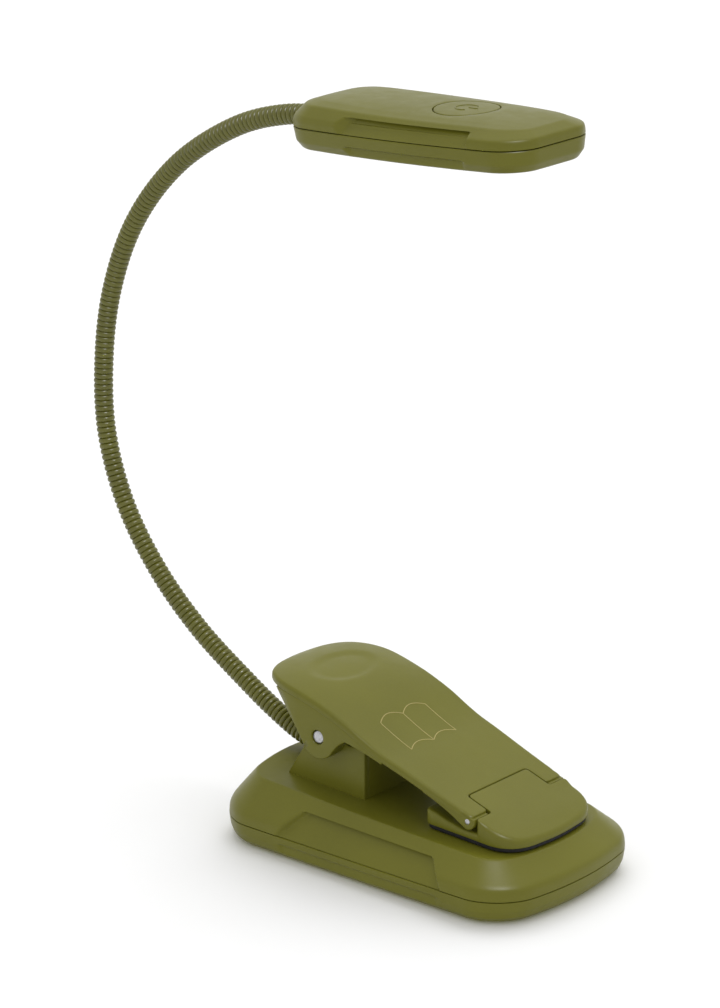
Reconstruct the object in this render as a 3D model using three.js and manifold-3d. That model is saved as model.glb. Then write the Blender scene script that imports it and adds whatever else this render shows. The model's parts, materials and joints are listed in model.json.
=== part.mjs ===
// Clip-on reading lamp: a battery base with a spring clip, a bendable gooseneck and an LED head.
// Millimetres, +Z up, origin at the middle of the base's underside, +X towards the clip's jaw.
import * as THREE from 'three';
import { mergeVertices } from 'three/addons/utils/BufferGeometryUtils.js';
import Module from 'manifold-3d';

// ---------------------------------------------------------------- driving dimensions

const GAP = 0.3;                      // clearance kept between neighbouring pieces

const BASE = {
  length: 96, width: 55.5, cornerRadius: 10.7, endBow: 4.5, sideBow: 0.3,
  bottomZ: 0.4, splitZ: 6.05, bandZ: 9.1, topZ: 15.4, topSlope: -0.04,
  topInset: 6.1, topRadius: 5.8, wall: 2,
};
const PEDESTAL = { halfWidth: 14.3, frontX: -6.8, topZ: 28.3, wall: 2, lobeRadius: 4.2 };
const PAD = { length: 66, width: 34, radius: 9, height: 1.2 };

const MAIN_PIN = { x: -18, z: 30.1, radius: 1.45, halfLength: 17.9 };
const JAW_PIN = { x: 27, z: 20, radius: 0.75, halfLength: 17.2 };
const PIN_CLEARANCE = 0.3;

const LEVER = { rearX: -41.2, frontX: 28.2, thickness: 2.2, planeZ: 30.7, slope: -0.33,
  halfWidthRear: 18.7, halfWidthFront: 17.4, cheekInner: 14.9, cheekOuter: 17.5 };
const NOTCH = { rearX: 22, halfWidth: 11.4 };
const JAW = { rearX: 13.8, frontX: 41.3, halfWidth: 16.9, rubber: 1, lift: 0.3 };

const NECK = { radius: 2.5, bore: 1.35, wire: 0.9, links: 11, sides: 12, jointGap: 0.6, stub: 8 };
const NECK_POINTS = [                 // x and z of the neck's centreline, from the base to the head
  [-21.6, 17.7], [-29.3, 18.9], [-39.3, 20.8], [-48.3, 24.8], [-57.4, 29.9], [-74, 40.5], [-88.2, 53.5],
  [-98.9, 68.8], [-104.8, 86.3], [-105.2, 105.1], [-101.6, 124.3], [-92.9, 142.8],
  [-77.8, 159.1], [-57.7, 170.8], [-42.8, 175.1], [-31, 176.2], [-23, 176.4],
];

const HEAD = {
  length: 72.6, width: 31.8, cornerRadius: 8.4, endBow: 0.2, sideBow: 2, wall: 1.4,
  centre: [5.2, -2.3, 177.5], rollDeg: 2.9, pitchDeg: -1.9, yawDeg: -3.6,
  topZ: 4.2, topSlope: -0.033, crown: 1.6, bandZ: 1.2, topInset: 2.9, bottomZ: -4.72, bottomInset: 2,
};
const BUTTON = { x: 9, radius: 7.9, flange: 9, topZ: 5.6, flangeZ: 2.2 };
const LENS = { length: 46, width: 18, radius: 5 };
const LED_COUNT = 4;

const OLIVE = 0x75763a;
const STEEL = 0xc9cbd0;

// ---------------------------------------------------------------- booleans

const wasm = await Module();
wasm.setup();

/** A closed three.js geometry as a solid that can be joined and cut. */
function solid(geometry) {
  const bare = geometry.clone();
  bare.deleteAttribute('normal');
  bare.deleteAttribute('uv');
  const merged = mergeVertices(bare, 1e-5);
  const mesh = new wasm.Mesh({
    numProp: 3,
    vertProperties: new Float32Array(merged.attributes.position.array),
    triVerts: new Uint32Array(merged.index.array),
  });
  return new wasm.Manifold(mesh);
}

/** The solid's surface as a three.js geometry. */
function surface(body) {
  const mesh = body.getMesh();
  const geometry = new THREE.BufferGeometry();
  geometry.setAttribute('position', new THREE.BufferAttribute(mesh.vertProperties, 3));
  geometry.setIndex(new THREE.BufferAttribute(mesh.triVerts, 1));
  return geometry;
}

/** First geometry, joined with those in `added` and cut by those in `removed`. */
function shaped(first, added, removed) {
  let body = solid(first);
  for (const piece of added) {
    body = body.add(solid(piece));
  }
  for (const piece of removed) {
    body = body.subtract(solid(piece));
  }
  return surface(body);
}

// ---------------------------------------------------------------- shapes

/** Outline in X and Y as points: a rounded rectangle whose ends and sides bow outwards. */
function bowedOutline(length, width, radius, endBow, sideBow) {
  const cornerSteps = 5;
  const sideSteps = 3;
  const corners = [[1, 1], [-1, 1], [-1, -1], [1, -1]];
  const arcs = corners.map(([sx, sy], quarter) => {
    const points = [];
    for (let i = 0; i <= cornerSteps; i++) {
      const angle = (quarter + i / cornerSteps) * Math.PI / 2;
      const x = sx * (length / 2 - radius) + radius * Math.cos(angle);
      const y = sy * (width / 2 - radius) + radius * Math.sin(angle);
      points.push(new THREE.Vector2(x, y));
    }
    return points;
  });
  const outline = [];
  arcs.forEach((arc, k) => {
    outline.push(...arc);
    const from = arc[arc.length - 1];
    const to = arcs[(k + 1) % 4][0];
    for (let i = 1; i <= sideSteps; i++) {
      outline.push(from.clone().lerp(to, i / (sideSteps + 1)));
    }
  });
  return outline.map(({ x, y }) => new THREE.Vector2(
    x * (1 - (2 * endBow / length) * (2 * y / width) ** 2),
    y * (1 - (2 * sideBow / width) * (2 * x / length) ** 2)));
}

/** Closed body through rings of equal count, the first at the bottom, with flat ends. */
function loft(rings) {
  const count = rings[0].length;
  const points = rings.flat();
  const index = [];
  for (let r = 0; r + 1 < rings.length; r++) {
    for (let i = 0; i < count; i++) {
      const a = r * count + i;
      const b = r * count + (i + 1) % count;
      index.push(a, b, b + count, a, b + count, a + count);
    }
  }
  const last = (rings.length - 1) * count;
  for (let i = 1; i + 1 < count; i++) {
    index.push(0, i + 1, i, last, last + i, last + i + 1);
  }
  const geometry = new THREE.BufferGeometry().setFromPoints(points);
  geometry.setIndex(index);
  return geometry;
}

/** One ring of a shell: the shell's outline drawn in by `inset`, at a height that may slope. */
function ring(shell, inset, height, radius = shell.cornerRadius, slope = 0) {
  const smallRadius = Math.max(radius - inset / 2, 1);
  const outline = bowedOutline(shell.length - 2 * inset, shell.width - 2 * inset, smallRadius,
    shell.endBow, shell.sideBow);
  return outline.map(({ x, y }) => new THREE.Vector3(x, y, height + slope * x));
}

/** Box between two corners. */
function box(from, to) {
  const size = to.map((value, i) => value - from[i]);
  const middle = to.map((value, i) => (value + from[i]) / 2);
  return new THREE.BoxGeometry(...size).translate(...middle);
}

/** Upright round bar from z0 to z1. */
function post(x, y, z0, z1, radius, sides = 16) {
  return new THREE.CylinderGeometry(radius, radius, z1 - z0, sides)
    .rotateX(Math.PI / 2).translate(x, y, (z0 + z1) / 2);
}

/** Round bar lying across the lamp, along Y, at x and z. */
function crossBar(x, z, y0, y1, radius, sides = 20) {
  return new THREE.CylinderGeometry(radius, radius, y1 - y0, sides).translate(x, (y0 + y1) / 2, z);
}

/** A shape drawn in X and Z, carried across the lamp from y0 to y1. */
function acrossY(shape, y0, y1, curveSegments = 8) {
  const options = { depth: y1 - y0, bevelEnabled: false, curveSegments };
  return new THREE.ExtrudeGeometry(shape, options).rotateX(Math.PI / 2).translate(0, y1, 0);
}

/** A shape drawn in X and Y, raised from z0 to z1. */
function upZ(shape, z0, z1, curveSegments = 6) {
  const options = { depth: z1 - z0, bevelEnabled: false, curveSegments };
  return new THREE.ExtrudeGeometry(shape, options).translate(0, 0, z0);
}

function polygon(points) {
  return new THREE.Shape(points.map(([a, b]) => new THREE.Vector2(a, b)));
}

function roundedRectangle(length, width, radius) {
  return new THREE.Shape(bowedOutline(length, width, radius, 0, 0));
}

/** Part of a curve, between two arc lengths measured along it; past its ends it runs straight. */
class Stretch extends THREE.Curve {
  constructor(curve, from, to) {
    super();
    Object.assign(this, { curve, from, to, total: curve.getLength() });
  }

  getPoint(t, target = new THREE.Vector3()) {
    const along = this.from + (this.to - this.from) * t;
    const inside = THREE.MathUtils.clamp(along, 0, this.total) / this.total;
    target.copy(this.curve.getPointAt(inside));
    return target.addScaledVector(this.curve.getTangentAt(inside), along - inside * this.total);
  }
}

/** Solid or bored round section carried along a path. */
function tube(path, radius, sides, steps, bore = 0) {
  const circle = (r) => Array.from({ length: sides }, (_, i) => new THREE.Vector2(
    r * Math.cos(2 * Math.PI * i / sides), r * Math.sin(2 * Math.PI * i / sides)));
  const section = new THREE.Shape(circle(radius));
  if (bore > 0) {
    section.holes.push(new THREE.Path(circle(bore).reverse()));
  }
  return new THREE.ExtrudeGeometry(section, { steps, extrudePath: path, bevelEnabled: false });
}

// ---------------------------------------------------------------- assembly helpers

const lamp = new THREE.Group();

function material(color, roughness, metalness = 0) {
  return new THREE.MeshStandardMaterial({ color, roughness, metalness });
}

function addPart(name, geometry, finish, parent = lamp) {
  const mesh = new THREE.Mesh(geometry, finish);
  mesh.name = name;
  parent.add(mesh);
}

const satinOlive = () => material(OLIVE, 0.45);
const steel = () => material(STEEL, 0.3, 0.9);

// ---------------------------------------------------------------- neck centreline

const neckCurve = new THREE.CatmullRomCurve3(
  NECK_POINTS.map(([x, z]) => new THREE.Vector3(x, 0, z)), false, 'centripetal');
neckCurve.arcLengthDivisions = 600;
const neckLength = neckCurve.getLength();
const linkLength = (neckLength - 2 * NECK.stub) / NECK.links;
const neckStretch = (from, to) => new Stretch(neckCurve, from, to);

// ---------------------------------------------------------------- base

const SCREWS = [[35, 16], [35, -16], [-35, 16], [-35, -16]];
const SCREW = { shaft: 0.9, head: 1.9, hole: 1.2, boss: 2.6 };
const USB = { x0: -47.4, x1: -40.2, halfWidth: 4.5, z0: 6.4, z1: 9.6 };

function topHeight(x) {
  return BASE.topZ + BASE.topSlope * x;
}

/** Shallow scoop in both long sides, with slanted ends, from z0 to z1. */
function sideScoops(halfLength, z0, z1, outsideY, depth) {
  const lead = 3;
  return [-1, 1].map((side) => {
    const scoop = polygon([[-halfLength - lead, side * (outsideY + depth)],
      [-halfLength, side * outsideY], [halfLength, side * outsideY],
      [halfLength + lead, side * (outsideY + depth)]]);
    return upZ(scoop, z0, z1);
  });
}

/** Side view of the pedestal, with the lobe that carries the clip's pin. */
function pedestalSide() {
  const rearFoot = [-31.6, 14];
  const rearSlope = 0.6;                       // x per unit of z on the slanted rear face
  const lobeLeft = MAIN_PIN.x - PEDESTAL.lobeRadius;
  const slantTop = rearFoot[1] + (lobeLeft - 0.7 - rearFoot[0]) / rearSlope;
  const side = new THREE.Shape();
  side.moveTo(...rearFoot);
  side.lineTo(PEDESTAL.frontX, rearFoot[1]);
  side.lineTo(PEDESTAL.frontX, PEDESTAL.topZ - 1);
  side.quadraticCurveTo(PEDESTAL.frontX, PEDESTAL.topZ, PEDESTAL.frontX - 1, PEDESTAL.topZ);
  side.lineTo(MAIN_PIN.x + PEDESTAL.lobeRadius + 1.5, PEDESTAL.topZ);
  side.absarc(MAIN_PIN.x, MAIN_PIN.z, PEDESTAL.lobeRadius, 0, Math.PI * 0.98, false);
  side.lineTo(lobeLeft - 0.7, Math.min(slantTop, MAIN_PIN.z - 1));
  side.closePath();
  return side;
}

function upperShell() {
  const outer = loft([
    ring(BASE, 0, BASE.splitZ + GAP / 2),
    ring(BASE, 0.2, BASE.bandZ),
    ring(BASE, BASE.topInset, BASE.topZ, BASE.topRadius + BASE.topInset / 2, BASE.topSlope),
  ]);
  const inner = loft([
    ring(BASE, BASE.wall, BASE.splitZ - 1),
    ring(BASE, BASE.wall + 0.3, BASE.bandZ - 0.6),
    ring(BASE, BASE.topInset + 0.9, BASE.topZ - BASE.wall, BASE.topRadius + 3, BASE.topSlope),
  ]);
  const rearInner = -27;
  const rearWallTop = 27.4;
  const frontInner = PEDESTAL.frontX - PEDESTAL.wall;
  const well = polygon([[rearInner, 5], [frontInner, 5], [frontInner, 40], [rearInner - 3, 40],
    [rearInner - 3, rearWallTop], [rearInner + 5.9, rearWallTop], [rearInner, 17.6]]);
  const innerWidth = PEDESTAL.halfWidth - PEDESTAL.wall;
  const bosses = SCREWS.map(([x, y]) => post(x, y, BASE.splitZ + GAP / 2, topHeight(x) - 1.4, SCREW.boss));
  const pilots = SCREWS.map(([x, y]) => post(x, y, BASE.splitZ - 1, topHeight(x) - 3, SCREW.hole));
  const solidShell = shaped(outer, [acrossY(pedestalSide(), -PEDESTAL.halfWidth, PEDESTAL.halfWidth)],
    [inner, ...sideScoops(19, 10.3, 20, BASE.width / 2 - 3.4, 6)]);
  const springShelf = box([frontInner - 2.6, -innerWidth - 0.5, 17], [frontInner + 0.5, innerWidth + 0.5, 18.6]);
  const hollowed = shaped(solidShell, [], [acrossY(well, -innerWidth, innerWidth)]);
  return shaped(hollowed, [springShelf, ...bosses], [
    ...pilots,
    tube(neckStretch(2, 17), NECK.radius + GAP, NECK.sides, 4),
    crossBar(MAIN_PIN.x, MAIN_PIN.z, -20, 20, MAIN_PIN.radius + PIN_CLEARANCE),
    box([-50, -USB.halfWidth - GAP, BASE.splitZ - 1], [USB.x1, USB.halfWidth + GAP, USB.z1 + GAP]),
  ]);
}

function lowerShell() {
  const top = BASE.splitZ - GAP / 2;
  const outer = loft([
    ring(BASE, 2.6, BASE.bottomZ),
    ring(BASE, 1.3, BASE.bottomZ + 0.8),
    ring(BASE, 0.4, BASE.bottomZ + 2.8),
    ring(BASE, 0, top),
  ]);
  const inner = loft([ring(BASE, 3.2, BASE.bottomZ + BASE.wall), ring(BASE, BASE.wall, top + 1)]);
  const recess = upZ(roundedRectangle(PAD.length + 2 * GAP, PAD.width + 2 * GAP, PAD.radius + GAP),
    0, PAD.height + GAP);
  const bosses = SCREWS.map(([x, y]) => post(x, y, 1.5, top, SCREW.boss));
  const holes = SCREWS.map(([x, y]) => post(x, y, 0, top + 1, SCREW.hole));
  const sinks = SCREWS.map(([x, y]) => post(x, y, 0, 1.9, SCREW.head + GAP));
  const scoops = sideScoops(20, BASE.bottomZ + 1.4, BASE.splitZ - 1.6, BASE.width / 2 - 1, 6);
  const hollowed = shaped(outer, [], [inner, recess, ...scoops]);
  return shaped(hollowed, bosses, [...holes, ...sinks]);
}

function countersunkScrew(x, y, headZ, tipZ) {
  const headTop = headZ + 0.9;
  const profile = [[0, headZ], [SCREW.head, headZ], [SCREW.head, headTop], [SCREW.shaft, headTop],
    [SCREW.shaft, tipZ - 0.8], [0, tipZ]];
  return new THREE.LatheGeometry(profile.map(([r, z]) => new THREE.Vector2(r, z)), 12)
    .rotateX(Math.PI / 2).translate(x, y, 0);
}

/** Torsion spring round the clip's pin, one leg on the pedestal's shelf, one under the thumb plate. */
function torsionSpring() {
  const coilRadius = 2.9;
  const turns = 5;
  const pitch = 1.5;
  const wire = 0.55;
  const start = Math.PI * 0.25;
  const coil = (turn) => {
    const angle = start - turn * 2 * Math.PI;
    return new THREE.Vector3(MAIN_PIN.x + coilRadius * Math.cos(angle), pitch * (turn - turns / 2),
      MAIN_PIN.z + coilRadius * Math.sin(angle));
  };
  const points = [new THREE.Vector3(-10.4, -pitch * turns / 2 - 0.4, 19.5)];
  points.push(new THREE.Vector3(-13.4, -pitch * turns / 2 - 0.2, 26.5));
  for (let turn = 0; turn <= turns - 0.25; turn += 1 / 8) {
    points.push(coil(turn));
  }
  points.push(new THREE.Vector3(-22.5, pitch * turns / 2 + 0.2, 34.6));
  points.push(new THREE.Vector3(-27, pitch * turns / 2 + 0.4, 37.6));
  const path = new THREE.CatmullRomCurve3(points, false, 'centripetal');
  return tube(path, wire, 6, 96);
}

function neckClamp() {
  const y = PEDESTAL.halfWidth - PEDESTAL.wall - GAP;
  return shaped(box([-23.7, -y, 13.8], [-20, y, 22.2]), [],
    [tube(neckStretch(-3, 12), NECK.radius + GAP, NECK.sides, 5)]);
}

function usbSocket() {
  const body = box([USB.x0, -USB.halfWidth, USB.z0], [USB.x1, USB.halfWidth, USB.z1]);
  const mouth = box([USB.x0 - 1, -USB.halfWidth + 0.35, USB.z0 + 0.35],
    [USB.x1 - 1, USB.halfWidth - 0.35, USB.z1 - 0.35]);
  const tongue = box([USB.x0 + 1, -3.2, 7.7], [USB.x1 - 0.5, 3.2, 8.3]);
  const hollow = shaped(body, [], [mouth]);
  return shaped(hollow, [tongue], []);
}

addPart('base_upper_shell', upperShell(), satinOlive());
addPart('base_lower_shell', lowerShell(), satinOlive());
addPart('base_pad', upZ(roundedRectangle(PAD.length, PAD.width, PAD.radius), 0, PAD.height),
  material(0x1d1d1b, 0.9));
SCREWS.forEach(([x, y], i) => {
  addPart(`base_screw_${i + 1}`, countersunkScrew(x, y, 0.8, topHeight(x) - 4), steel());
});
addPart('battery_cell', box([-4, -13, 3], [31, 13, 8.6]), material(0x8f9499, 0.4, 0.5));
addPart('charge_board', box([-43.6, -10, 4.9], [-6, 10, 6.1]), material(0x1f5a3a, 0.5));
addPart('usb_socket', usbSocket(), steel());
addPart('neck_clamp', neckClamp(), material(0x2b2b2a, 0.6));
addPart('main_pin', crossBar(MAIN_PIN.x, MAIN_PIN.z, -MAIN_PIN.halfLength, MAIN_PIN.halfLength,
  MAIN_PIN.radius), steel());
addPart('torsion_spring', torsionSpring(), steel());

// ---------------------------------------------------------------- gooseneck and its lead wire

/** Arc length of the joint between links k - 1 and k, along the whole centreline. */
function jointAt(k) {
  return NECK.stub + k * linkLength;
}

for (let k = 0; k < NECK.links; k++) {
  const number = String(k).padStart(2, '0');
  const first = k === 0;
  const last = k === NECK.links - 1;
  const from = first ? 0.2 : jointAt(k) + NECK.jointGap / 2;
  const to = last ? neckLength - 0.2 : jointAt(k + 1) - NECK.jointGap / 2;
  const path = neckStretch(from, to);
  addPart(`neck_link_${number}`, tube(path, NECK.radius, NECK.sides, 5, NECK.bore), satinOlive());
  addPart(`lead_wire_${number}`, tube(path, NECK.wire, 6, 5), material(0x141414, 0.6));
}

// ---------------------------------------------------------------- clip lever

/** Height of the lever's flat top above the base's underside, forward of the pedestal. */
function leverTop(x) {
  return LEVER.planeZ + LEVER.slope * x;
}

/** Side view of the plate: flat thumb end, falling curve over the pin, straight run to the jaw. */
function leverPlate() {
  const t = LEVER.thickness;
  const top = [[-41.2, 39.9], [-34, 41.2], [-27, 40.9], [-20.8, 39.7], [-15.5, 37.9], [-10, 35.4],
    [-4, 32.6], [2, leverTop(2)]];
  const plate = new THREE.Shape();
  plate.moveTo(...top[0]);
  plate.splineThru(top.slice(1).map(([x, z]) => new THREE.Vector2(x, z)));
  plate.lineTo(LEVER.frontX + 1, leverTop(LEVER.frontX + 1));
  plate.lineTo(LEVER.frontX + 1, leverTop(LEVER.frontX + 1) - t);
  plate.lineTo(2, leverTop(2) - t);
  plate.splineThru(top.slice(0, -1).reverse().map(([x, z]) => new THREE.Vector2(x, z - t)));
  plate.closePath();
  return plate;
}

/** Plan view of the lever: wide round thumb end, sides drawing in towards the jaw. */
function leverPlan() {
  const { rearX, frontX, halfWidthRear: wide, halfWidthFront: narrow } = LEVER;
  const plan = new THREE.Shape();
  plan.moveTo(frontX, -narrow);
  plan.lineTo(frontX, narrow);
  plan.lineTo(-6, wide);
  plan.lineTo(rearX + 16, wide - 0.4);
  plan.bezierCurveTo(rearX + 7, wide - 0.9, rearX + 2.5, wide - 5, rearX + 1.2, wide - 11);
  plan.quadraticCurveTo(rearX - 0.4, 0, rearX + 1.2, -wide + 11);
  plan.bezierCurveTo(rearX + 2.5, -wide + 5, rearX + 7, -wide + 0.9, rearX + 16, -wide + 0.4);
  plan.lineTo(-6, -wide);
  plan.closePath();
  return plan;
}

/** Side view of a cheek: it hangs from the plate and ends in a lobe round the main pin. */
function leverCheek() {
  const lobe = 5.4;
  const cheek = new THREE.Shape();
  cheek.moveTo(-33, 39.4);
  cheek.quadraticCurveTo(-24, 35.6, MAIN_PIN.x - lobe + 0.2, MAIN_PIN.z + 0.8);
  cheek.absarc(MAIN_PIN.x, MAIN_PIN.z, lobe, Math.PI, Math.PI * 1.8, false);
  cheek.quadraticCurveTo(-12, 29.8, -9.2, 31.2);
  cheek.quadraticCurveTo(-4, 30.2, 2, 28.6);
  cheek.lineTo(2, leverTop(2) - 1);
  cheek.lineTo(-6, 32.4);
  cheek.lineTo(-15, 36.6);
  cheek.lineTo(-24, 39);
  cheek.closePath();
  return cheek;
}

/** Side view of a front arm: a rib under the plate that ends in a lobe round the jaw's pin. */
function leverArm() {
  const lobe = 1.9;
  const arm = new THREE.Shape();
  arm.moveTo(16, leverTop(16) - 0.5);
  arm.lineTo(16, leverTop(16) - LEVER.thickness - 0.2);
  arm.quadraticCurveTo(22.5, 20.5, JAW_PIN.x - 1.2, JAW_PIN.z - 1.5);
  arm.absarc(JAW_PIN.x, JAW_PIN.z, lobe, -Math.PI * 0.6, Math.PI * 0.25, false);
  arm.lineTo(JAW_PIN.x + 0.8, leverTop(JAW_PIN.x + 0.8) - 0.1);
  arm.closePath();
  return arm;
}

function clipLever() {
  const slab = solid(acrossY(leverPlate(), -25, 25)).intersect(solid(upZ(leverPlan(), 0, 60)));
  const sides = [];
  for (const side of [-1, 1]) {
    const [inner, outer] = [side * LEVER.cheekInner, side * LEVER.cheekOuter].sort((a, b) => a - b);
    const arm = [side * (NOTCH.halfWidth + 0.4), side * (LEVER.halfWidthFront - 0.1)].sort((a, b) => a - b);
    sides.push(acrossY(leverCheek(), inner, outer), acrossY(leverArm(), ...arm));
  }
  const notch = box([NOTCH.rearX, -NOTCH.halfWidth, 10], [LEVER.frontX + 5, NOTCH.halfWidth, 40]);
  const frontTrim = box([LEVER.frontX + 0.9, -25, 10], [LEVER.frontX + 5, 25, 40]);
  return shaped(surface(slab), sides, [
    notch, frontTrim,
    crossBar(MAIN_PIN.x, MAIN_PIN.z, -20, 20, MAIN_PIN.radius + PIN_CLEARANCE),
    crossBar(JAW_PIN.x, JAW_PIN.z, -20, 20, JAW_PIN.radius + PIN_CLEARANCE, 12),
  ]);
}

addPart('clip_lever', clipLever(), satinOlive());
addPart('jaw_pin', crossBar(JAW_PIN.x, JAW_PIN.z, -JAW_PIN.halfLength, JAW_PIN.halfLength,
  JAW_PIN.radius, 12), steel());

// ---------------------------------------------------------------- jaw

/** Height of a plane parallel to the base's top, `above` over it. */
function overTop(x, above) {
  return topHeight(x) + above;
}

function jawSide() {
  const floor = JAW.lift + JAW.rubber + GAP;
  const [tailRear, tailFront] = [20.2, 19.1];
  const tongue = NOTCH.rearX + GAP;
  const side = new THREE.Shape();
  side.moveTo(JAW.rearX, overTop(JAW.rearX, floor));
  side.lineTo(JAW.frontX, overTop(JAW.frontX, floor));
  side.lineTo(JAW.frontX, leverTop(JAW.frontX) - 0.4);
  side.lineTo(JAW.frontX - 1.5, leverTop(JAW.frontX - 1.5));
  side.lineTo(tongue, leverTop(tongue));
  side.lineTo(tongue, tailFront);
  side.lineTo(JAW.rearX + 1.5, tailRear);
  side.quadraticCurveTo(JAW.rearX, tailRear, JAW.rearX, tailRear - 1.5);
  side.closePath();
  return side;
}

/** Plan view of the jaw: straight tail, round front corners, bowed front edge. */
function jawPlan(inset) {
  const w = JAW.halfWidth - inset;
  const rear = JAW.rearX + inset;
  const front = JAW.frontX - inset;
  const plan = new THREE.Shape();
  plan.moveTo(rear, -w);
  plan.lineTo(front - 6.5, -w);
  plan.quadraticCurveTo(front - 2, -w + 0.8, front - 0.9, -w + 6.5);
  plan.quadraticCurveTo(front + 0.6, 0, front - 0.9, w - 6.5);
  plan.quadraticCurveTo(front - 2, w - 0.8, front - 6.5, w);
  plan.lineTo(rear, w);
  plan.closePath();
  return plan;
}

function jawPad() {
  const block = solid(acrossY(jawSide(), -25, 25)).intersect(solid(upZ(jawPlan(0), 0, 60)));
  const pockets = [-1, 1].map((side) => {
    const span = [side * (NOTCH.halfWidth - GAP), side * 25].sort((a, b) => a - b);
    const pocket = polygon([[17, 19.4], [20, 18.4], [25, 17.4], [29.4, 17.4], [29.4, 40], [17, 40]]);
    return acrossY(pocket, ...span);
  });
  return shaped(surface(block), [], [
    ...pockets,
    crossBar(JAW_PIN.x, JAW_PIN.z, -20, 20, JAW_PIN.radius + PIN_CLEARANCE, 12),
  ]);
}

function jawRubber() {
  const [low, high] = [JAW.lift, JAW.lift + JAW.rubber];
  const sheet = polygon([[0, overTop(0, low)], [60, overTop(60, low)], [60, overTop(60, high)],
    [0, overTop(0, high)]]);
  const block = solid(acrossY(sheet, -25, 25)).intersect(solid(upZ(jawPlan(0.4), 0, 60)));
  return surface(block);
}

addPart('jaw_pad', jawPad(), satinOlive());
addPart('jaw_rubber', jawRubber(), material(0x17181a, 0.85));

// ---------------------------------------------------------------- head

const head = new THREE.Group();
head.position.set(...HEAD.centre);
head.rotation.set(...[HEAD.rollDeg, HEAD.pitchDeg, HEAD.yawDeg].map(THREE.MathUtils.degToRad), 'ZYX');
head.updateMatrixWorld(true);
lamp.add(head);
const toHead = head.matrixWorld.clone().invert();

const HEAD_SCREWS = [[-27.6, 9.2], [-27.6, -9.2]];

/** Hole for the neck in the head's rear wall, in the head's own frame. */
function neckHole(radius) {
  return tube(neckStretch(neckLength - 12, neckLength), radius, NECK.sides, 3).applyMatrix4(toHead);
}

function headUpperShell() {
  const outer = loft([
    ring(HEAD, 0, GAP / 2),
    ring(HEAD, 0.1, HEAD.bandZ),
    ring(HEAD, HEAD.topInset, HEAD.topZ, HEAD.cornerRadius, HEAD.topSlope),
    ring(HEAD, 6, HEAD.topZ + 0.7 * HEAD.crown, HEAD.cornerRadius, HEAD.topSlope),
    ring(HEAD, 10, HEAD.topZ + HEAD.crown, HEAD.cornerRadius, HEAD.topSlope),
  ]);
  const inner = loft([
    ring(HEAD, HEAD.wall, -1),
    ring(HEAD, HEAD.wall + 0.1, HEAD.bandZ),
    ring(HEAD, HEAD.topInset + 1, HEAD.topZ - 0.5, HEAD.cornerRadius, HEAD.topSlope),
  ]);
  const bosses = HEAD_SCREWS.map(([x, y]) => post(x, y, GAP / 2, HEAD.topZ, 2));
  const pilots = HEAD_SCREWS.map(([x, y]) => post(x, y, -1, HEAD.topZ - 0.8, SCREW.hole));
  const hollowed = shaped(outer, [], [inner, ...sideScoops(17, 1.4, 9, HEAD.width / 2 - 1.8, 6)]);
  return shaped(hollowed, bosses, [
    ...pilots,
    neckHole(NECK.radius + GAP),
    post(BUTTON.x, 0, 0, 10, BUTTON.radius + GAP, 32),
  ]);
}

function headLowerShell() {
  const outer = loft([
    ring(HEAD, HEAD.bottomInset, HEAD.bottomZ),
    ring(HEAD, 0.9, HEAD.bottomZ + 0.7),
    ring(HEAD, 0.3, HEAD.bottomZ + 2.2),
    ring(HEAD, 0, -GAP / 2),
  ]);
  const inner = loft([ring(HEAD, 2.6, HEAD.bottomZ + HEAD.wall), ring(HEAD, HEAD.wall, 1)]);
  const window = upZ(roundedRectangle(LENS.length + 2 * GAP, LENS.width + 2 * GAP, LENS.radius), -8, 2);
  const bosses = HEAD_SCREWS.map(([x, y]) => post(x, y, HEAD.bottomZ + 0.6, -GAP / 2, 2.4));
  const holes = HEAD_SCREWS.map(([x, y]) => post(x, y, -8, 1, SCREW.hole));
  const sinks = HEAD_SCREWS.map(([x, y]) => post(x, y, -8, HEAD.bottomZ + 1.3, SCREW.head + 0.1));
  const hollowed = shaped(outer, [], [inner, window]);
  return shaped(hollowed, bosses, [...holes, ...sinks, neckHole(NECK.radius + GAP)]);
}

function powerButton() {
  const { radius, flange, topZ, flangeZ } = BUTTON;
  const profile = [[0, flangeZ], [flange, flangeZ], [flange, flangeZ + 0.65], [radius, flangeZ + 0.65],
    [radius, topZ - 0.25], [radius - 0.3, topZ], [0, topZ]];
  return new THREE.LatheGeometry(profile.map(([r, z]) => new THREE.Vector2(r, z)), 32)
    .rotateX(Math.PI / 2).translate(BUTTON.x, 0, 0);
}

function headClamp() {
  return shaped(box([-32.6, -6, -2.9], [-29.6, 6, 2.7]), [], [neckHole(NECK.radius + GAP)]);
}

addPart('head_upper_shell', headUpperShell(), satinOlive(), head);
addPart('head_lower_shell', headLowerShell(), satinOlive(), head);
addPart('lens', upZ(roundedRectangle(LENS.length, LENS.width, LENS.radius), -4.6, -3.2),
  material(0xf4f3ea, 0.35), head);
addPart('led_board', box([-23.5, -10, -1], [29, 10, 0]), material(0xf1f1ee, 0.5), head);
for (let i = 0; i < LED_COUNT; i++) {
  const x = -16.5 + 11 * i;
  addPart(`led_${i + 1}`, box([x - 1.75, -1.4, -2.1], [x + 1.75, 1.4, -1.3]), material(0xf3e27a, 0.4), head);
}
addPart('tact_switch', shaped(box([BUTTON.x - 3, -3, 0.3], [BUTTON.x + 3, 3, 1.2]),
  [post(BUTTON.x, 0, 1.1, 1.6, 1.5)], []), material(0x202020, 0.6), head);
HEAD_SCREWS.forEach(([x, y], i) => {
  addPart(`head_screw_${i + 1}`, countersunkScrew(x, y, HEAD.bottomZ + 0.2, HEAD.topZ - 1.6), steel(), head);
});
addPart('head_clamp', headClamp(), material(0x2b2b2a, 0.6), head);
addPart('power_button', powerButton(), satinOlive(), head);

export default lamp;
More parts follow.
